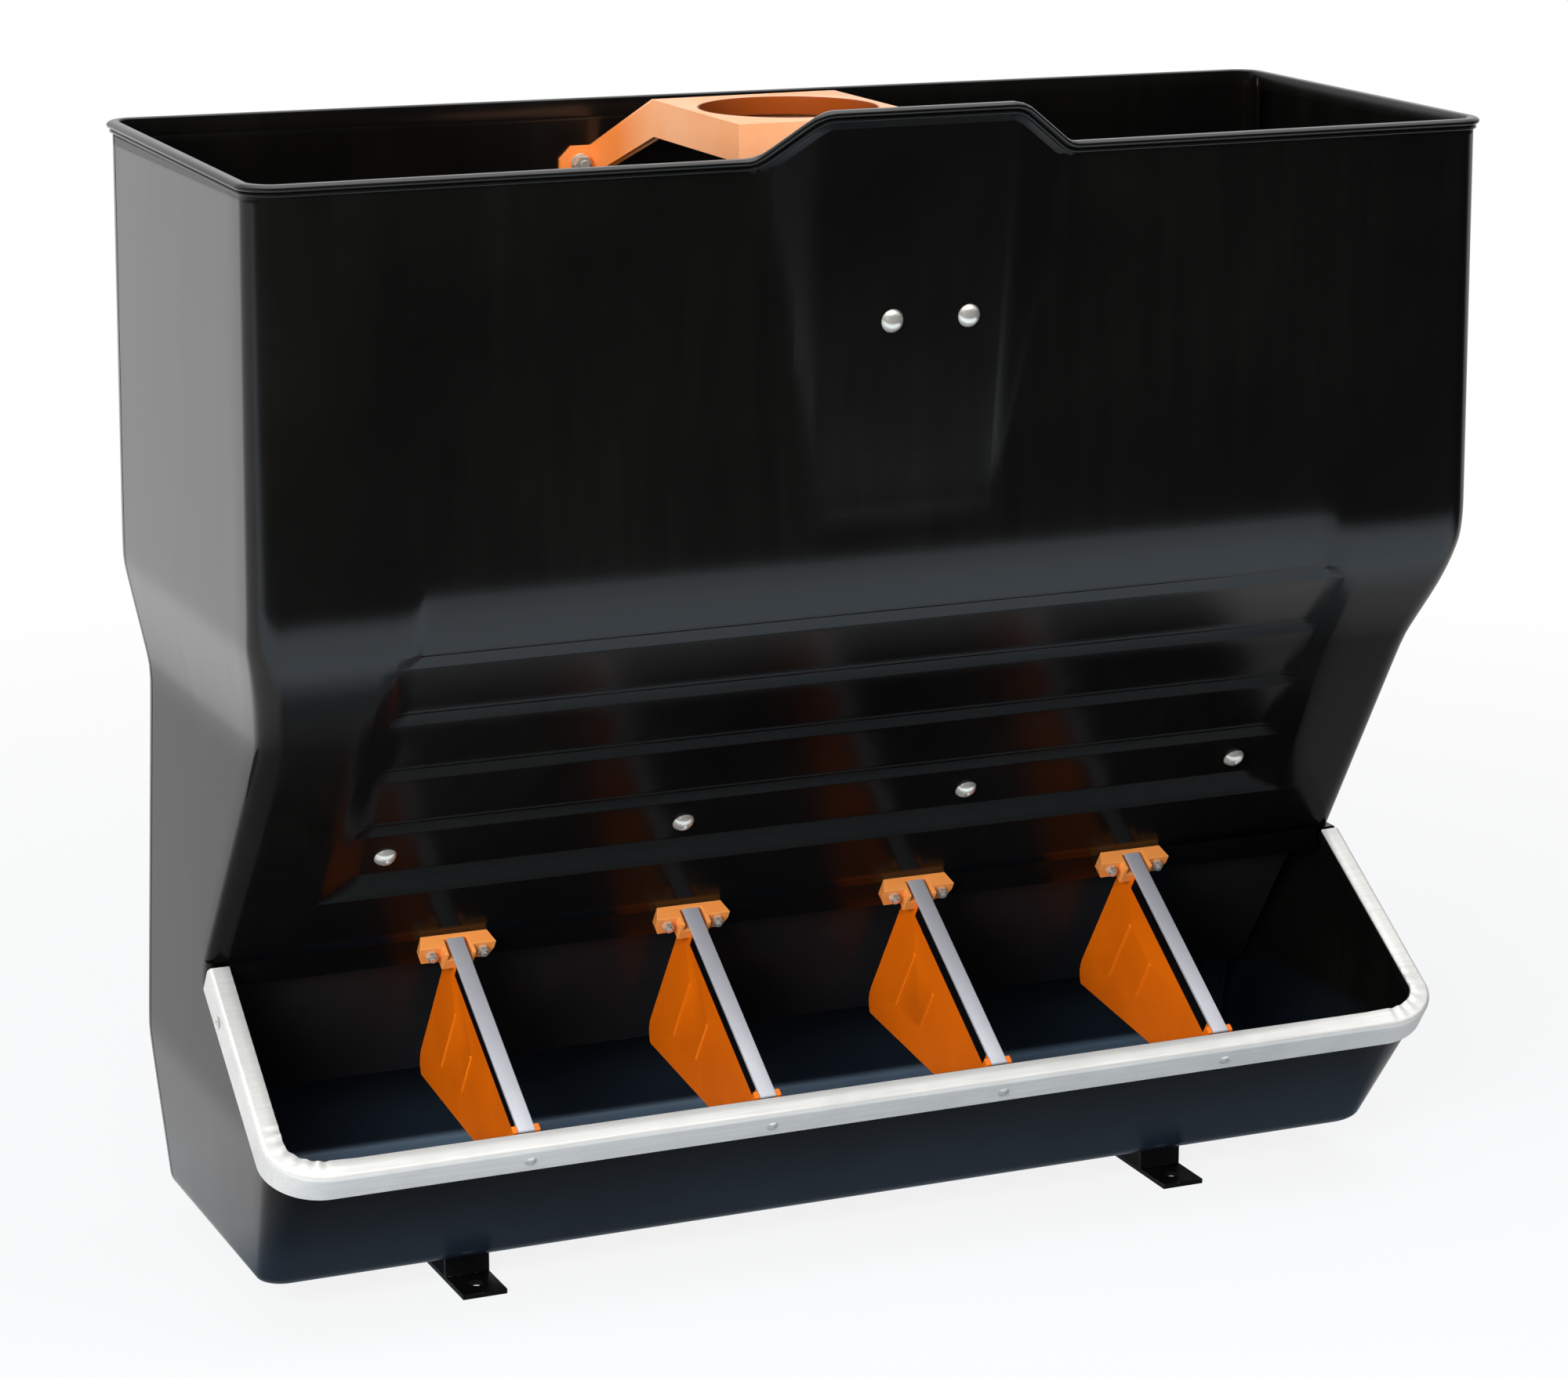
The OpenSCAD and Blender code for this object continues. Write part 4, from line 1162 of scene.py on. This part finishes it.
    def close_shoulders(self, bm: BMesh) -> None:
        """Fills the small steps beside the mouth, where the hopper's corners stand on the trough's sides.

        Args:
            bm: The skin of hopper and trough.
        """
        form = self.form
        half, r = form.half_width(form.lip_z), form.lip_corner_r
        for side in (-1, 1):
            found = [v for v in bm.verts if abs(v.co.z - form.lip_z) < NEAR and side * v.co.x > half - r - NEAR
                     and v.co.y < form.lip_y + r + NEAR]
            outer = max(found, key=lambda v: side * v.co.x - v.co.y)
            arc = sorted((v for v in found if v is not outer), key=lambda v: v.co.y)
            bm.faces.new([outer, *arc])

    def thicken(self, piece: Object) -> Object:
        """Gives a skin the wall's thickness, inwards.

        Args:
            piece: The skin.

        Returns:
            The same piece.
        """
        wall = piece.modifiers.new("wall", "SOLIDIFY")
        wall.thickness = self.form.wall
        wall.offset = -1.0
        wall.use_even_offset = False
        return piece

    def trough_point(self, p: Vector, front: float) -> Vector:
        """Moves a point of the plain rounded block to its place on the trough.

        Args:
            p: Point of the block.
            front: Place of the block's front face.

        Returns:
            Its place on the trough.
        """
        form = self.form
        short = max(0.0, form.base_r - (p.z - form.base_z))
        inset = form.base_r - math.sqrt(max(0.0, form.base_r ** 2 - short ** 2))
        half = form.half_width(p.z) - inset - (self.seam_depth if self.at_seam(p) else 0.0)
        r = form.toe_r
        low = limit((form.toe_round_z - p.z) / (form.toe_round_z - form.base_z))
        own_r = r + (form.toe_foot_r - r) * low
        x = self.across(abs(p.x), half, own_r, r, p.y <= front + r - NEAR)
        face = form.toe_y(p.z) + inset / math.cos(form.toe_lean)
        back = form.back_y - inset
        keep = self.trough_keep
        if p.y < front + r:
            y = face + (p.y - front) * own_r / r
        elif p.y > form.back_y - keep:
            y = back + p.y - form.back_y
        else:
            share = (p.y - front - r) / (form.back_y - keep - front - r)
            y = face + own_r + (back - keep - face - own_r) * share
        return Vector((math.copysign(x, p.x), y, p.z))

    @property
    def trough_keep(self) -> float:
        """Length of the trough's back end that keeps its shape at every height."""
        return self.form.back_y - self.form.seam_y + 0.01

    def trough_mesh(self) -> BMesh:
        """Shapes the trough below the mouth, with rows that meet the hopper's."""
        form = self.form
        front = form.toe_y(0.12)
        bm = self.walls(Vector((-form.rim_half, front, form.base_z)), Vector((form.rim_half, form.back_y, form.lip_z)),
                        form.toe_r, 12)
        low = [form.base_z + form.base_r * (1 - math.cos(a)) for a in steps(0.0, math.pi / 2, math.radians(9))][1:]
        cut_rows(bm, Axis.Z, low + steps(low[-1], form.lip_z, 0.01)[1:-1])
        cut_rows(bm, Axis.X, self.columns())
        start, stop = form.toe_y(form.lip_z) + form.toe_r, form.back_y - self.trough_keep
        count = len(self.side_rows()) - 1
        first, last = form.lip_y + form.lip_corner_r, form.hinge_y
        places = [first + (last - first) * i / count for i in range(count + 1)]
        places += steps(start, form.lip_y, self.side_pitch)[1:-1]
        rows = [front + form.toe_r + (y - start) / (stop - start) * (stop - front - form.toe_r) for y in sorted(places)]
        cut_rows(bm, Axis.Y, rows + self.seam_rows())
        for v in bm.verts:
            v.co = self.trough_point(v.co, front)
        bmesh.ops.bisect_plane(bm, geom=bm.verts[:] + bm.edges[:] + bm.faces[:], dist=MERGE, clear_outer=True,
                               plane_co=(0, form.lip_y, form.lip_z),
                               plane_no=form.slope_frame.to_3x3() @ Vector((0, 0, 1)))
        return bm

    def build_slope_back(self) -> Object:
        """Builds the stiff plate behind the slope, with its skirt below the mouth."""
        form = self.form
        top = (form.bend_z - form.lip_z) / math.cos(form.tilt)
        thick, hide = form.slope_t, form.slope_t - 0.005
        outline = [(0.0, -form.skirt), (thick, -form.skirt), (thick, top - 0.006), (hide, top - 0.002),
                   (hide, 0.04), (0.001, 0.002), (0.0, 0.0)]
        bm = bmesh.new()
        corners = [bm.verts.new((-1.0, y, z)) for y, z in outline]
        face = bm.faces.new(corners)
        made = bmesh.ops.extrude_face_region(bm, geom=[face])["geom"]
        bmesh.ops.translate(bm, vec=(2.0, 0, 0), verts=verts_of(made))
        bmesh.ops.transform(bm, matrix=form.slope_frame, verts=bm.verts)
        for v in bm.verts:
            low = form.on_slope(v.co.y, v.co.z)[1] < -0.01
            v.co.x *= form.half_width(v.co.z) - (form.wall if low else form.lip_corner_r)
        bmesh.ops.recalc_face_normals(bm, faces=bm.faces)
        round_edges(bm, lambda e: all(form.on_slope(v.co.y, v.co.z)[1] < -0.02 for v in e.verts)
                    and abs(e.verts[0].co.x - e.verts[1].co.x) > 0.5, 0.003, 4)
        return self.place("slope_back", bm, SHELL, Body.FEEDER)

    def build_rim(self) -> Object:
        """Builds the rolled rim round the top edge and over the peak."""
        form = self.form
        half, face, r, rb = form.rim_half, form.wall_face, form.corner_r, form.back_r
        quarter = math.pi / 2
        path = [Vector((x, face, 0)) for x in steps(-half + r, half - r, 0.006)]
        for cx, cy, radius, start in ((half - r, face + r, r, -quarter), (half - rb, form.back_y - rb, rb, 0.0),
                                      (rb - half, form.back_y - rb, rb, quarter), (r - half, face + r, r, 2 * quarter)):
            angles = steps(start, start + quarter, math.radians(9))[1:]
            path += [Vector((cx + radius * math.cos(a), cy + radius * math.sin(a), 0))
                     for a in (angles if radius == rb else angles[:-1])]
        points = [self.hopper_point(Vector((p.x, p.y, form.wall_top))) for p in path]
        left, right = self.back_lift
        for p in points:
            if p.y > face:
                p.z += (p.y - face) / (form.back_y - face) * (left + (right - left) * (p.x + half) / (2 * half))
            p.z += form.bead_r - self.roll_h
        inner, top = -form.wall - 0.0002, self.roll_h
        roll = [(form.bead_r * math.cos(a), self.roll_h * math.sin(a))
                for a in steps(math.radians(-70), quarter, 0.35)]
        roll += [(inner + self.edge_r, top), (inner + 0.0004, top - 0.0004), (inner, top - self.edge_r),
                 (inner, -self.upstand), (-0.001, -self.upstand)]
        roll += [(self.under_roll_r[0] * math.cos(a), self.under_roll_r[1] * math.sin(a) - self.under_roll)
                 for a in steps(math.radians(270), math.radians(430), 0.45)]
        bm = sweep(roll, stations_along(points, Vector((0, 0, 1)), True), True)
        return self.place("rolled_rim", bm, SHELL, Body.FEEDER, (), 80.0)

    def build_flange(self) -> Object:
        """Builds the flange inside the trough's lip, under the steel trim."""
        points = [self.form.slope_frame @ p for p in self.form.mouth_outline()]
        up = self.form.slope_frame.to_3x3() @ Vector((0, 0, 1))
        bm = sweep([(-0.0025, -0.0002), (-0.0025, -0.008), (-0.014, -0.008), (-0.015, -0.007), (-0.015, -0.0002)],
                   stations_along(points, up, False), False)
        return self.place("lip_flange", bm, SHELL, Body.FEEDER)


@dataclass
class LipTrim(SubAssembly):
    """The folded steel trim over the trough's lip, puckered at its inner corners, and its rivets."""
    sheet: float = 0.0015
    gap: float = 0.0015
    width: float = 0.017
    leg: float = 0.023
    roll: float = 0.004
    pucker: float = 0.0016
    crimp: float = 0.0003
    crimp_pitch: float = 0.0085
    pucker_turns: float = 22.0

    def build(self) -> None:
        """Builds the trim and its rivets."""
        outer = self.gap + self.sheet
        turn = [(outer - self.roll + self.roll * math.sin(a), self.sheet - self.roll + self.roll * math.cos(a))
                for a in steps(0.0, math.pi / 2, math.radians(11))]
        inside = outer - self.width
        section = [(inside, 0.0), (inside, self.sheet * 0.7), (inside + 0.0006, self.sheet), (inside / 2, self.sheet),
                   *turn, (outer, -self.leg), (self.gap, -self.leg), (self.gap, -0.003), (0.0005, 0.0)]
        outline = self.form.mouth_outline()
        up = Vector((0, 0, 1))
        bm = sweep(section, stations_along(outline, up, False), False)
        self.pinch(bm, inside)
        bmesh.ops.transform(bm, matrix=self.form.slope_frame, verts=bm.verts)
        self.place("lip_trim_folded", bm, TRIM, Body.FEEDER, ["lip_trim"], 40.0)
        self.carry("lip_rivets", SCREW, Body.FEEDER, 0.0003)

    def pinch(self, bm: BMesh, inside: float) -> None:
        """Puckers the face at the inner corners, as a sheet that was folded round them.

        Args:
            bm: The trim in the slope's frame.
            inside: Reach of the face inside the lip.
        """
        form = self.form
        centre_x = form.half_width(form.lip_z - form.mouth_l * math.sin(form.tilt)) - form.toe_r
        centre_y = -(form.mouth_l - form.toe_r)
        for v in bm.verts:
            out = Vector((abs(v.co.x) - centre_x, centre_y - v.co.y))
            if v.co.z > 0.0001 and out.y < -0.012 and out.x < form.toe_r + inside + 0.004:
                v.co.z += self.crimp * (0.5 + 0.5 * math.sin(v.co.y * 2 * math.pi / self.crimp_pitch))
            if out.x < -0.01 or out.y < -0.012 or v.co.z < 0.0001:
                continue
            angle = math.atan2(out.y, out.x)
            inner = limit((form.toe_r + 0.002 - out.length) / -inside) ** 1.5
            wave = 0.5 + 0.5 * math.sin(angle * self.pucker_turns)
            v.co.z += self.pucker * inner * wave * limit(1.6 - abs(angle - 0.8))


@dataclass
class Dividers(SubAssembly):
    """The four dividers: an orange sheet, its head block on the slope and the steel bar over it."""
    count: int = 4
    bar_w: float = 0.0135
    bar_t: float = 0.003
    edge_r: float = 0.0007
    # size of the black strip of painted shade under the bar
    gap_shade_w: float = 0.0056
    gap_shade_h: float = 0.0185
    gap_shade_ends: tuple[float, float] = (0.016, 0.02)
    clip_half: float = 0.009
    clip_tuck: tuple[float, float, float] = (0.0031, 0.006, 0.002)
    clip_top: float = 0.003

    def build(self) -> None:
        """Builds each divider and the screws that hold it."""
        for i in range(1, self.count + 1):
            self.carry(f"divider_panel_{i}", PANEL, Body.FEEDER, 0.0009, shape=self.tuck_clip)
            self.carry(f"divider_block_{i}", BLOCK, Body.FEEDER, 0.0011, 3)
            self.build_bar(i)
        self.carry("divider_screws", SCREW, Body.FEEDER, 0.0004)
        self.carry("divider_nuts", SCREW, Body.FEEDER, 0.0005)

    def on_slope(self, places: Iterable[Vector]) -> tuple[list[Vector], Vector, Vector]:
        """Moves places into the slope's frame.

        Args:
            places: Places in the part.

        Returns:
            The moved places, and the lowest and highest corner of their box.
        """
        into_slope = self.form.slope_frame.inverted()
        found = [into_slope @ p for p in places]
        low, high = (Vector(pick(p[k] for p in found) for k in range(3)) for pick in (min, max))
        return found, low, high

    def tuck_clip(self, bm: BMesh) -> None:
        """Draws the clip at a sheet's foot in to the thin bar.

        Args:
            bm: The sheet's mesh, with the clip at its lower end.
        """
        spots, low, high = self.on_slope(v.co for v in bm.verts)
        middle = (low.x + high.x) / 2
        aside, along, down = self.clip_tuck
        for v, p in zip(bm.verts, spots):
            if abs(p.x - middle) > self.clip_half:
                p.x -= math.copysign(aside, p.x - middle)
                p.y -= along if p.y > low.y + along else 0.0
                p.z -= down if p.z > high.z - self.clip_top else 0.0
                v.co = self.form.slope_frame @ p

    def build_bar(self, number: int) -> Object:
        """Builds a divider's bar as a flat strip, and under it a black strip of painted shade for the gap between it
        and the sheet.

        Args:
            number: Number of the divider.

        Returns:
            The bar.
        """
        node = f"divider_bar_{number}"
        _, low, high = self.on_slope(v.co for v in self.frame["nodes"][node].data.vertices)
        middle = (low.x + high.x) / 2
        under = high.z - self.bar_t
        strip = block(Vector((middle - self.bar_w / 2, low.y, under)),
                      Vector((middle + self.bar_w / 2, high.y, high.z)))
        # painted shade: a black strip for the shaded gap under the bar
        gap_shade = block(Vector((middle - self.gap_shade_w / 2, low.y + self.gap_shade_ends[0], under - self.gap_shade_h)),
                     Vector((middle + self.gap_shade_w / 2, high.y - self.gap_shade_ends[1], under)))
        for bm in (strip, gap_shade):
            round_edges(bm, lambda e: True, self.edge_r, 3)
            bmesh.ops.transform(bm, matrix=self.form.slope_frame, verts=bm.verts)
        self.place(f"divider_gap_shade_{number}", gap_shade, GAP_SHADE, Body.FEEDER)
        return self.place(f"{node}_strip", strip, BAR, Body.FEEDER, [node])


@dataclass
class FeedGate(SubAssembly):
    """The gate behind the slope, the screws that carry it, and its riser with the hand grip."""

    def build(self) -> None:
        """Builds the gate and what moves with it or carries it."""
        self.carry("feed_gate", GATE, Body.GATE, 0.0005)
        self.carry("gate_riser", PLATE, Body.GATE, 0.0006)
        self.carry("riser_screws", SCREW, Body.GATE, 0.0004)
        self.carry("riser_grip", GRIP, Body.GATE, 0.0022, 4)
        self.carry("gate_bushes", BUSH, Body.FEEDER, 0.0004)
        for node in ("gate_screws", "gate_washers", "gate_nuts"):
            self.carry(node, SCREW, Body.FEEDER, 0.0005)


@dataclass
class Adjuster(SubAssembly):
    """The clamp behind the peak that holds the gate's riser."""

    def build(self) -> None:
        """Builds the clamp's bracket, stud and knob."""
        self.carry("clamp_bracket", PLATE, Body.FEEDER, 0.0006)
        self.carry("clamp_knob", GRIP, Body.KNOB, 0.0018, 4)
        for node in ("clamp_stud", "bracket_screws", "bracket_nuts"):
            self.carry(node, SCREW, Body.FEEDER, 0.0005)


@dataclass
class PipeRing(SubAssembly):
    """The orange ring over the hopper that takes the feed pipe."""

    def build(self) -> None:
        """Builds the ring and its bolts."""
        self.carry("pipe_bracket", RING, Body.FEEDER, 0.0018, 3)
        for node in ("pipe_bolts", "pipe_washers", "pipe_nuts"):
            self.carry(node, SCREW, Body.FEEDER, 0.0005)


@dataclass
class FloorBrackets(SubAssembly):
    """The two black brackets under the trough."""

    def build(self) -> None:
        """Builds the brackets and their bolts."""
        for side in ("left", "right"):
            self.carry(f"floor_bracket_{side}", FOOT, Body.FEEDER, 0.0007)
        for node in ("foot_bolts", "foot_nuts"):
            self.carry(node, SCREW, Body.FEEDER, 0.0005)


@dataclass(frozen=True)
class Softbox:
    """A soft lamp that gloss doesn't mirror: where it hangs, what it points at, its size and its power."""
    name: str
    place: tuple[float, float, float]
    aim: tuple[float, float, float]
    size: tuple[float, float]
    power: float

    def hang(self) -> Object:
        """Adds the lamp to the scene."""
        lamp = bpy.data.lights.new(self.name, "AREA")
        lamp.shape = "RECTANGLE"
        lamp.size, lamp.size_y = self.size
        lamp.energy = self.power
        hung = bpy.data.objects.new(self.name, lamp)
        hung.location = self.place
        hung.rotation_euler = (Vector(self.aim) - Vector(self.place)).to_track_quat("-Z", "Y").to_euler()
        hung.visible_camera = False
        hung.visible_glossy = False
        bpy.context.scene.collection.objects.link(hung)
        return hung


@dataclass
class Studio:
    """A pale floor, soft lamps, a room that is pale behind and overhead and dim ahead, and the camera."""
    floor_half: float = 16.0
    floor_tint: Colour = (0.68, 0.74, 0.80)
    shown: tuple[float, float] = (0.86, 1.0)
    shown_from: tuple[float, float] = (0.9, 2.4)
    paper: float = 0.62
    backdrop: float = 1.16
    backdrop_from: tuple[float, float] = (-0.1, 0.3)
    fan: tuple[float, float] = (0.5, 0.75)
    fan_root: float = 0.48
    fan_back: float = 0.2
    fan_least: float = 0.02
    room: float = 0.02
    room_from: tuple[float, float] = (-1.05, -1.5)
    aside_from: tuple[float, float] = (1.3, 1.9)
    aside_back: tuple[float, float] = (0.3, -0.1)
    # glow of the painted pool of light in front of the object and of its painted shadow, both seen only in gloss
    painted_pool_glow: float = 1.15
    shade: float = 0.24
    cool: Colour = (0.76, 0.89, 1.0)
    shade_from: tuple[float, float] = (-0.46, -0.28)
    shade_back: tuple[float, float] = (0.02, 0.12)
    shade_side: tuple[float, float] = (0.5, 0.56)
    ceiling: float = 0.9
    ceiling_from: tuple[float, float] = (0.15, 0.6)
    ceiling_lean: float = 0.6
    zenith: float = 1.8
    zenith_from: tuple[float, float] = (0.7, 0.95)
    ambient: float = 0.2
    ambient_tint: Colour = (0.82, 0.92, 1.0)
    lens: float = 102.058
    eye: tuple[float, float, float] = (-1.3617, -3.1019, 1.2897)
    right: tuple[float, float, float] = (0.91795, -0.39671, 0.0)
    up: tuple[float, float, float] = (0.09708, 0.22463, 0.96960)
    back: tuple[float, float, float] = (-0.38465, -0.89004, 0.24471)
    lamps: tuple[Softbox, ...] = (
        Softbox("overhead_box", (0.2, -0.5, 2.6), (0.1, -0.2, 0.0), (2.6, 1.8), 48.0),
        Softbox("front_fill", (-2.2, -2.2, 1.5), (-0.05, -0.15, 0.35), (1.6, 1.4), 122.0),
    )

    def build(self) -> None:
        """Sets up the studio."""
        self.lay_floor()
        self.light_sky()
        for lamp in self.lamps:
            lamp.hang()
        self.aim_camera()
        bpy.context.scene.view_settings.view_transform = "Standard"

    def lay_floor(self) -> None:
        """Lays the floor, which shows pale to the camera and keeps the object's shadow."""
        bm = bmesh.new()
        bmesh.ops.create_grid(bm, x_segments=2, y_segments=2, size=self.floor_half)
        floor = link_mesh("studio_floor", bm)
        sheet = ShaderSheet("studio_floor_paper")
        sheet.set(Base_Color=self.floor_tint, Roughness=0.9, Specular_IOR_Level=0.1)
        camera, glossy = sheet.rays()
        level, near = self.mirrored_floor(sheet)
        glow = sheet.node("ShaderNodeEmission")
        sheet.feed(glow.inputs["Color"], sheet.mix(sheet.math("MULTIPLY", glossy, near), WHITE, self.cool))
        sheet.feed(glow.inputs["Strength"], sheet.math("ADD", camera, sheet.math("MULTIPLY", glossy, level)))
        far = sheet.node("ShaderNodeVectorMath", operation="LENGTH")
        sheet.feed(far.inputs[0], sheet.place)
        seen = sheet.math("MULTIPLY", camera, sheet.spread(far.outputs["Value"], *self.shown_from, *self.shown))
        blend = sheet.node("ShaderNodeMixShader")
        sheet.feed(blend.inputs[0], sheet.math("ADD", seen, glossy))
        sheet.feed(blend.inputs[1], sheet.shader.outputs["BSDF"])
        sheet.feed(blend.inputs[2], glow.outputs["Emission"])
        sheet.feed(sheet.tree.nodes["Material Output"].inputs["Surface"], blend.outputs["Shader"])
        floor.data.materials.append(sheet.material)

    def mirrored_floor(self, sheet: ShaderSheet) -> tuple[Socket, Socket]:
        """Draws the floor as gloss shows it, all as glow: a pale backdrop behind the object, a painted pool of light in
        front of it, a painted shadow under it and a dim room ahead.

        Args:
            sheet: The floor's sheet.

        Returns:
            The floor's glow, and the share of the cool painted pool of light and painted shadow near the object.
        """
        x, y, _ = sheet.parts(sheet.place)
        side = sheet.math("ABSOLUTE", x)
        beside = sheet.math("SUBTRACT", side, self.fan_root)
        beyond = sheet.math("MAXIMUM", sheet.math("ADD", y, self.fan_back), self.fan_least)
        in_fan = sheet.spread(sheet.math("DIVIDE", beside, beyond), *self.fan, 1.0, 0.0)
        behind = sheet.math("MULTIPLY", sheet.spread(y, *self.backdrop_from, 0.0, 1.0), in_fan)
        aside = sheet.math("MULTIPLY", sheet.spread(x, *self.aside_from, 0.0, 1.0),
                           sheet.spread(y, *self.aside_back, 0.0, 1.0))
        ahead = sheet.math("MAXIMUM", sheet.spread(y, *self.room_from, 0.0, 1.0), aside)
        # painted shadow of the object on the floor, seen only in gloss
        below = sheet.math("MULTIPLY", sheet.spread(y, *self.shade_back, 1.0, 0.0),
                           sheet.spread(side, *self.shade_side, 1.0, 0.0))
        under = sheet.math("MULTIPLY", sheet.spread(y, *self.shade_from, 0.0, 1.0), below)
        # painted pool of light in front of the object, seen only in gloss
        front = sheet.math("MULTIPLY", sheet.spread(y, *self.shade_from, 1.0, 0.0),
                           sheet.math("SUBTRACT", 1.0, ahead))
        level: Socket | float = self.paper
        for zone, light in ((behind, self.backdrop), (ahead, self.room), (under, self.shade), (front, self.painted_pool_glow)):
            level = sheet.math("ADD", level, sheet.math("MULTIPLY", zone, light - self.paper))
        return level, sheet.math("ADD", under, front)

    def light_sky(self) -> None:
        """Fills the world with an even pale light, which is white to the camera and a room to gloss."""
        world = bpy.data.worlds.new("studio_sky")
        world.use_nodes = True
        bpy.context.scene.world = world
        sheet = NodeSheet(world.node_tree)
        camera, glossy = sheet.rays()
        _, y, z = sheet.parts(sheet.node("ShaderNodeTexCoord").outputs["Generated"])
        lean = sheet.math("ADD", z, sheet.math("MULTIPLY", y, self.ceiling_lean))
        room = sheet.math("MULTIPLY", glossy, sheet.math(
            "ADD", sheet.spread(lean, *self.ceiling_from, self.room, self.ceiling),
            sheet.spread(z, *self.zenith_from, 0.0, self.zenith)))
        clear = sheet.math("MAXIMUM", camera, glossy)
        sky = sheet.tree.nodes["Background"]
        sheet.feed(sky.inputs["Color"], sheet.mix(clear, self.ambient_tint, WHITE))
        level = sheet.math("MULTIPLY", sheet.math("SUBTRACT", 1.0, clear), self.ambient)
        sheet.feed(sky.inputs["Strength"], sheet.math("ADD", sheet.math("ADD", camera, room), level))

    def aim_camera(self) -> None:
        """Sets the camera at the photograph's viewing angle."""
        camera = bpy.data.cameras.new("photo_view")
        camera.lens = self.lens
        camera.sensor_width = 36.0
        camera.sensor_fit = "HORIZONTAL"
        stand = bpy.data.objects.new("photo_view", camera)
        turn = Matrix((self.right, self.up, self.back)).transposed().to_4x4()
        stand.matrix_world = Matrix.Translation(self.eye) @ turn
        bpy.context.scene.collection.objects.link(stand)
        bpy.context.scene.camera = stand


def main() -> None:
    """Loads the frame, sets up the studio, and builds and dresses the feeder."""
    logging.basicConfig(level=logging.INFO, format="%(name)s: %(message)s")
    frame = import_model()
    form = FeederForm.of_frame(frame)
    Studio().build()
    for group in (MouldedBody, LipTrim, Dividers, FeedGate, Adjuster, PipeRing, FloorBrackets):
        group(frame, form).build()


if __name__ == "__main__":
    main()
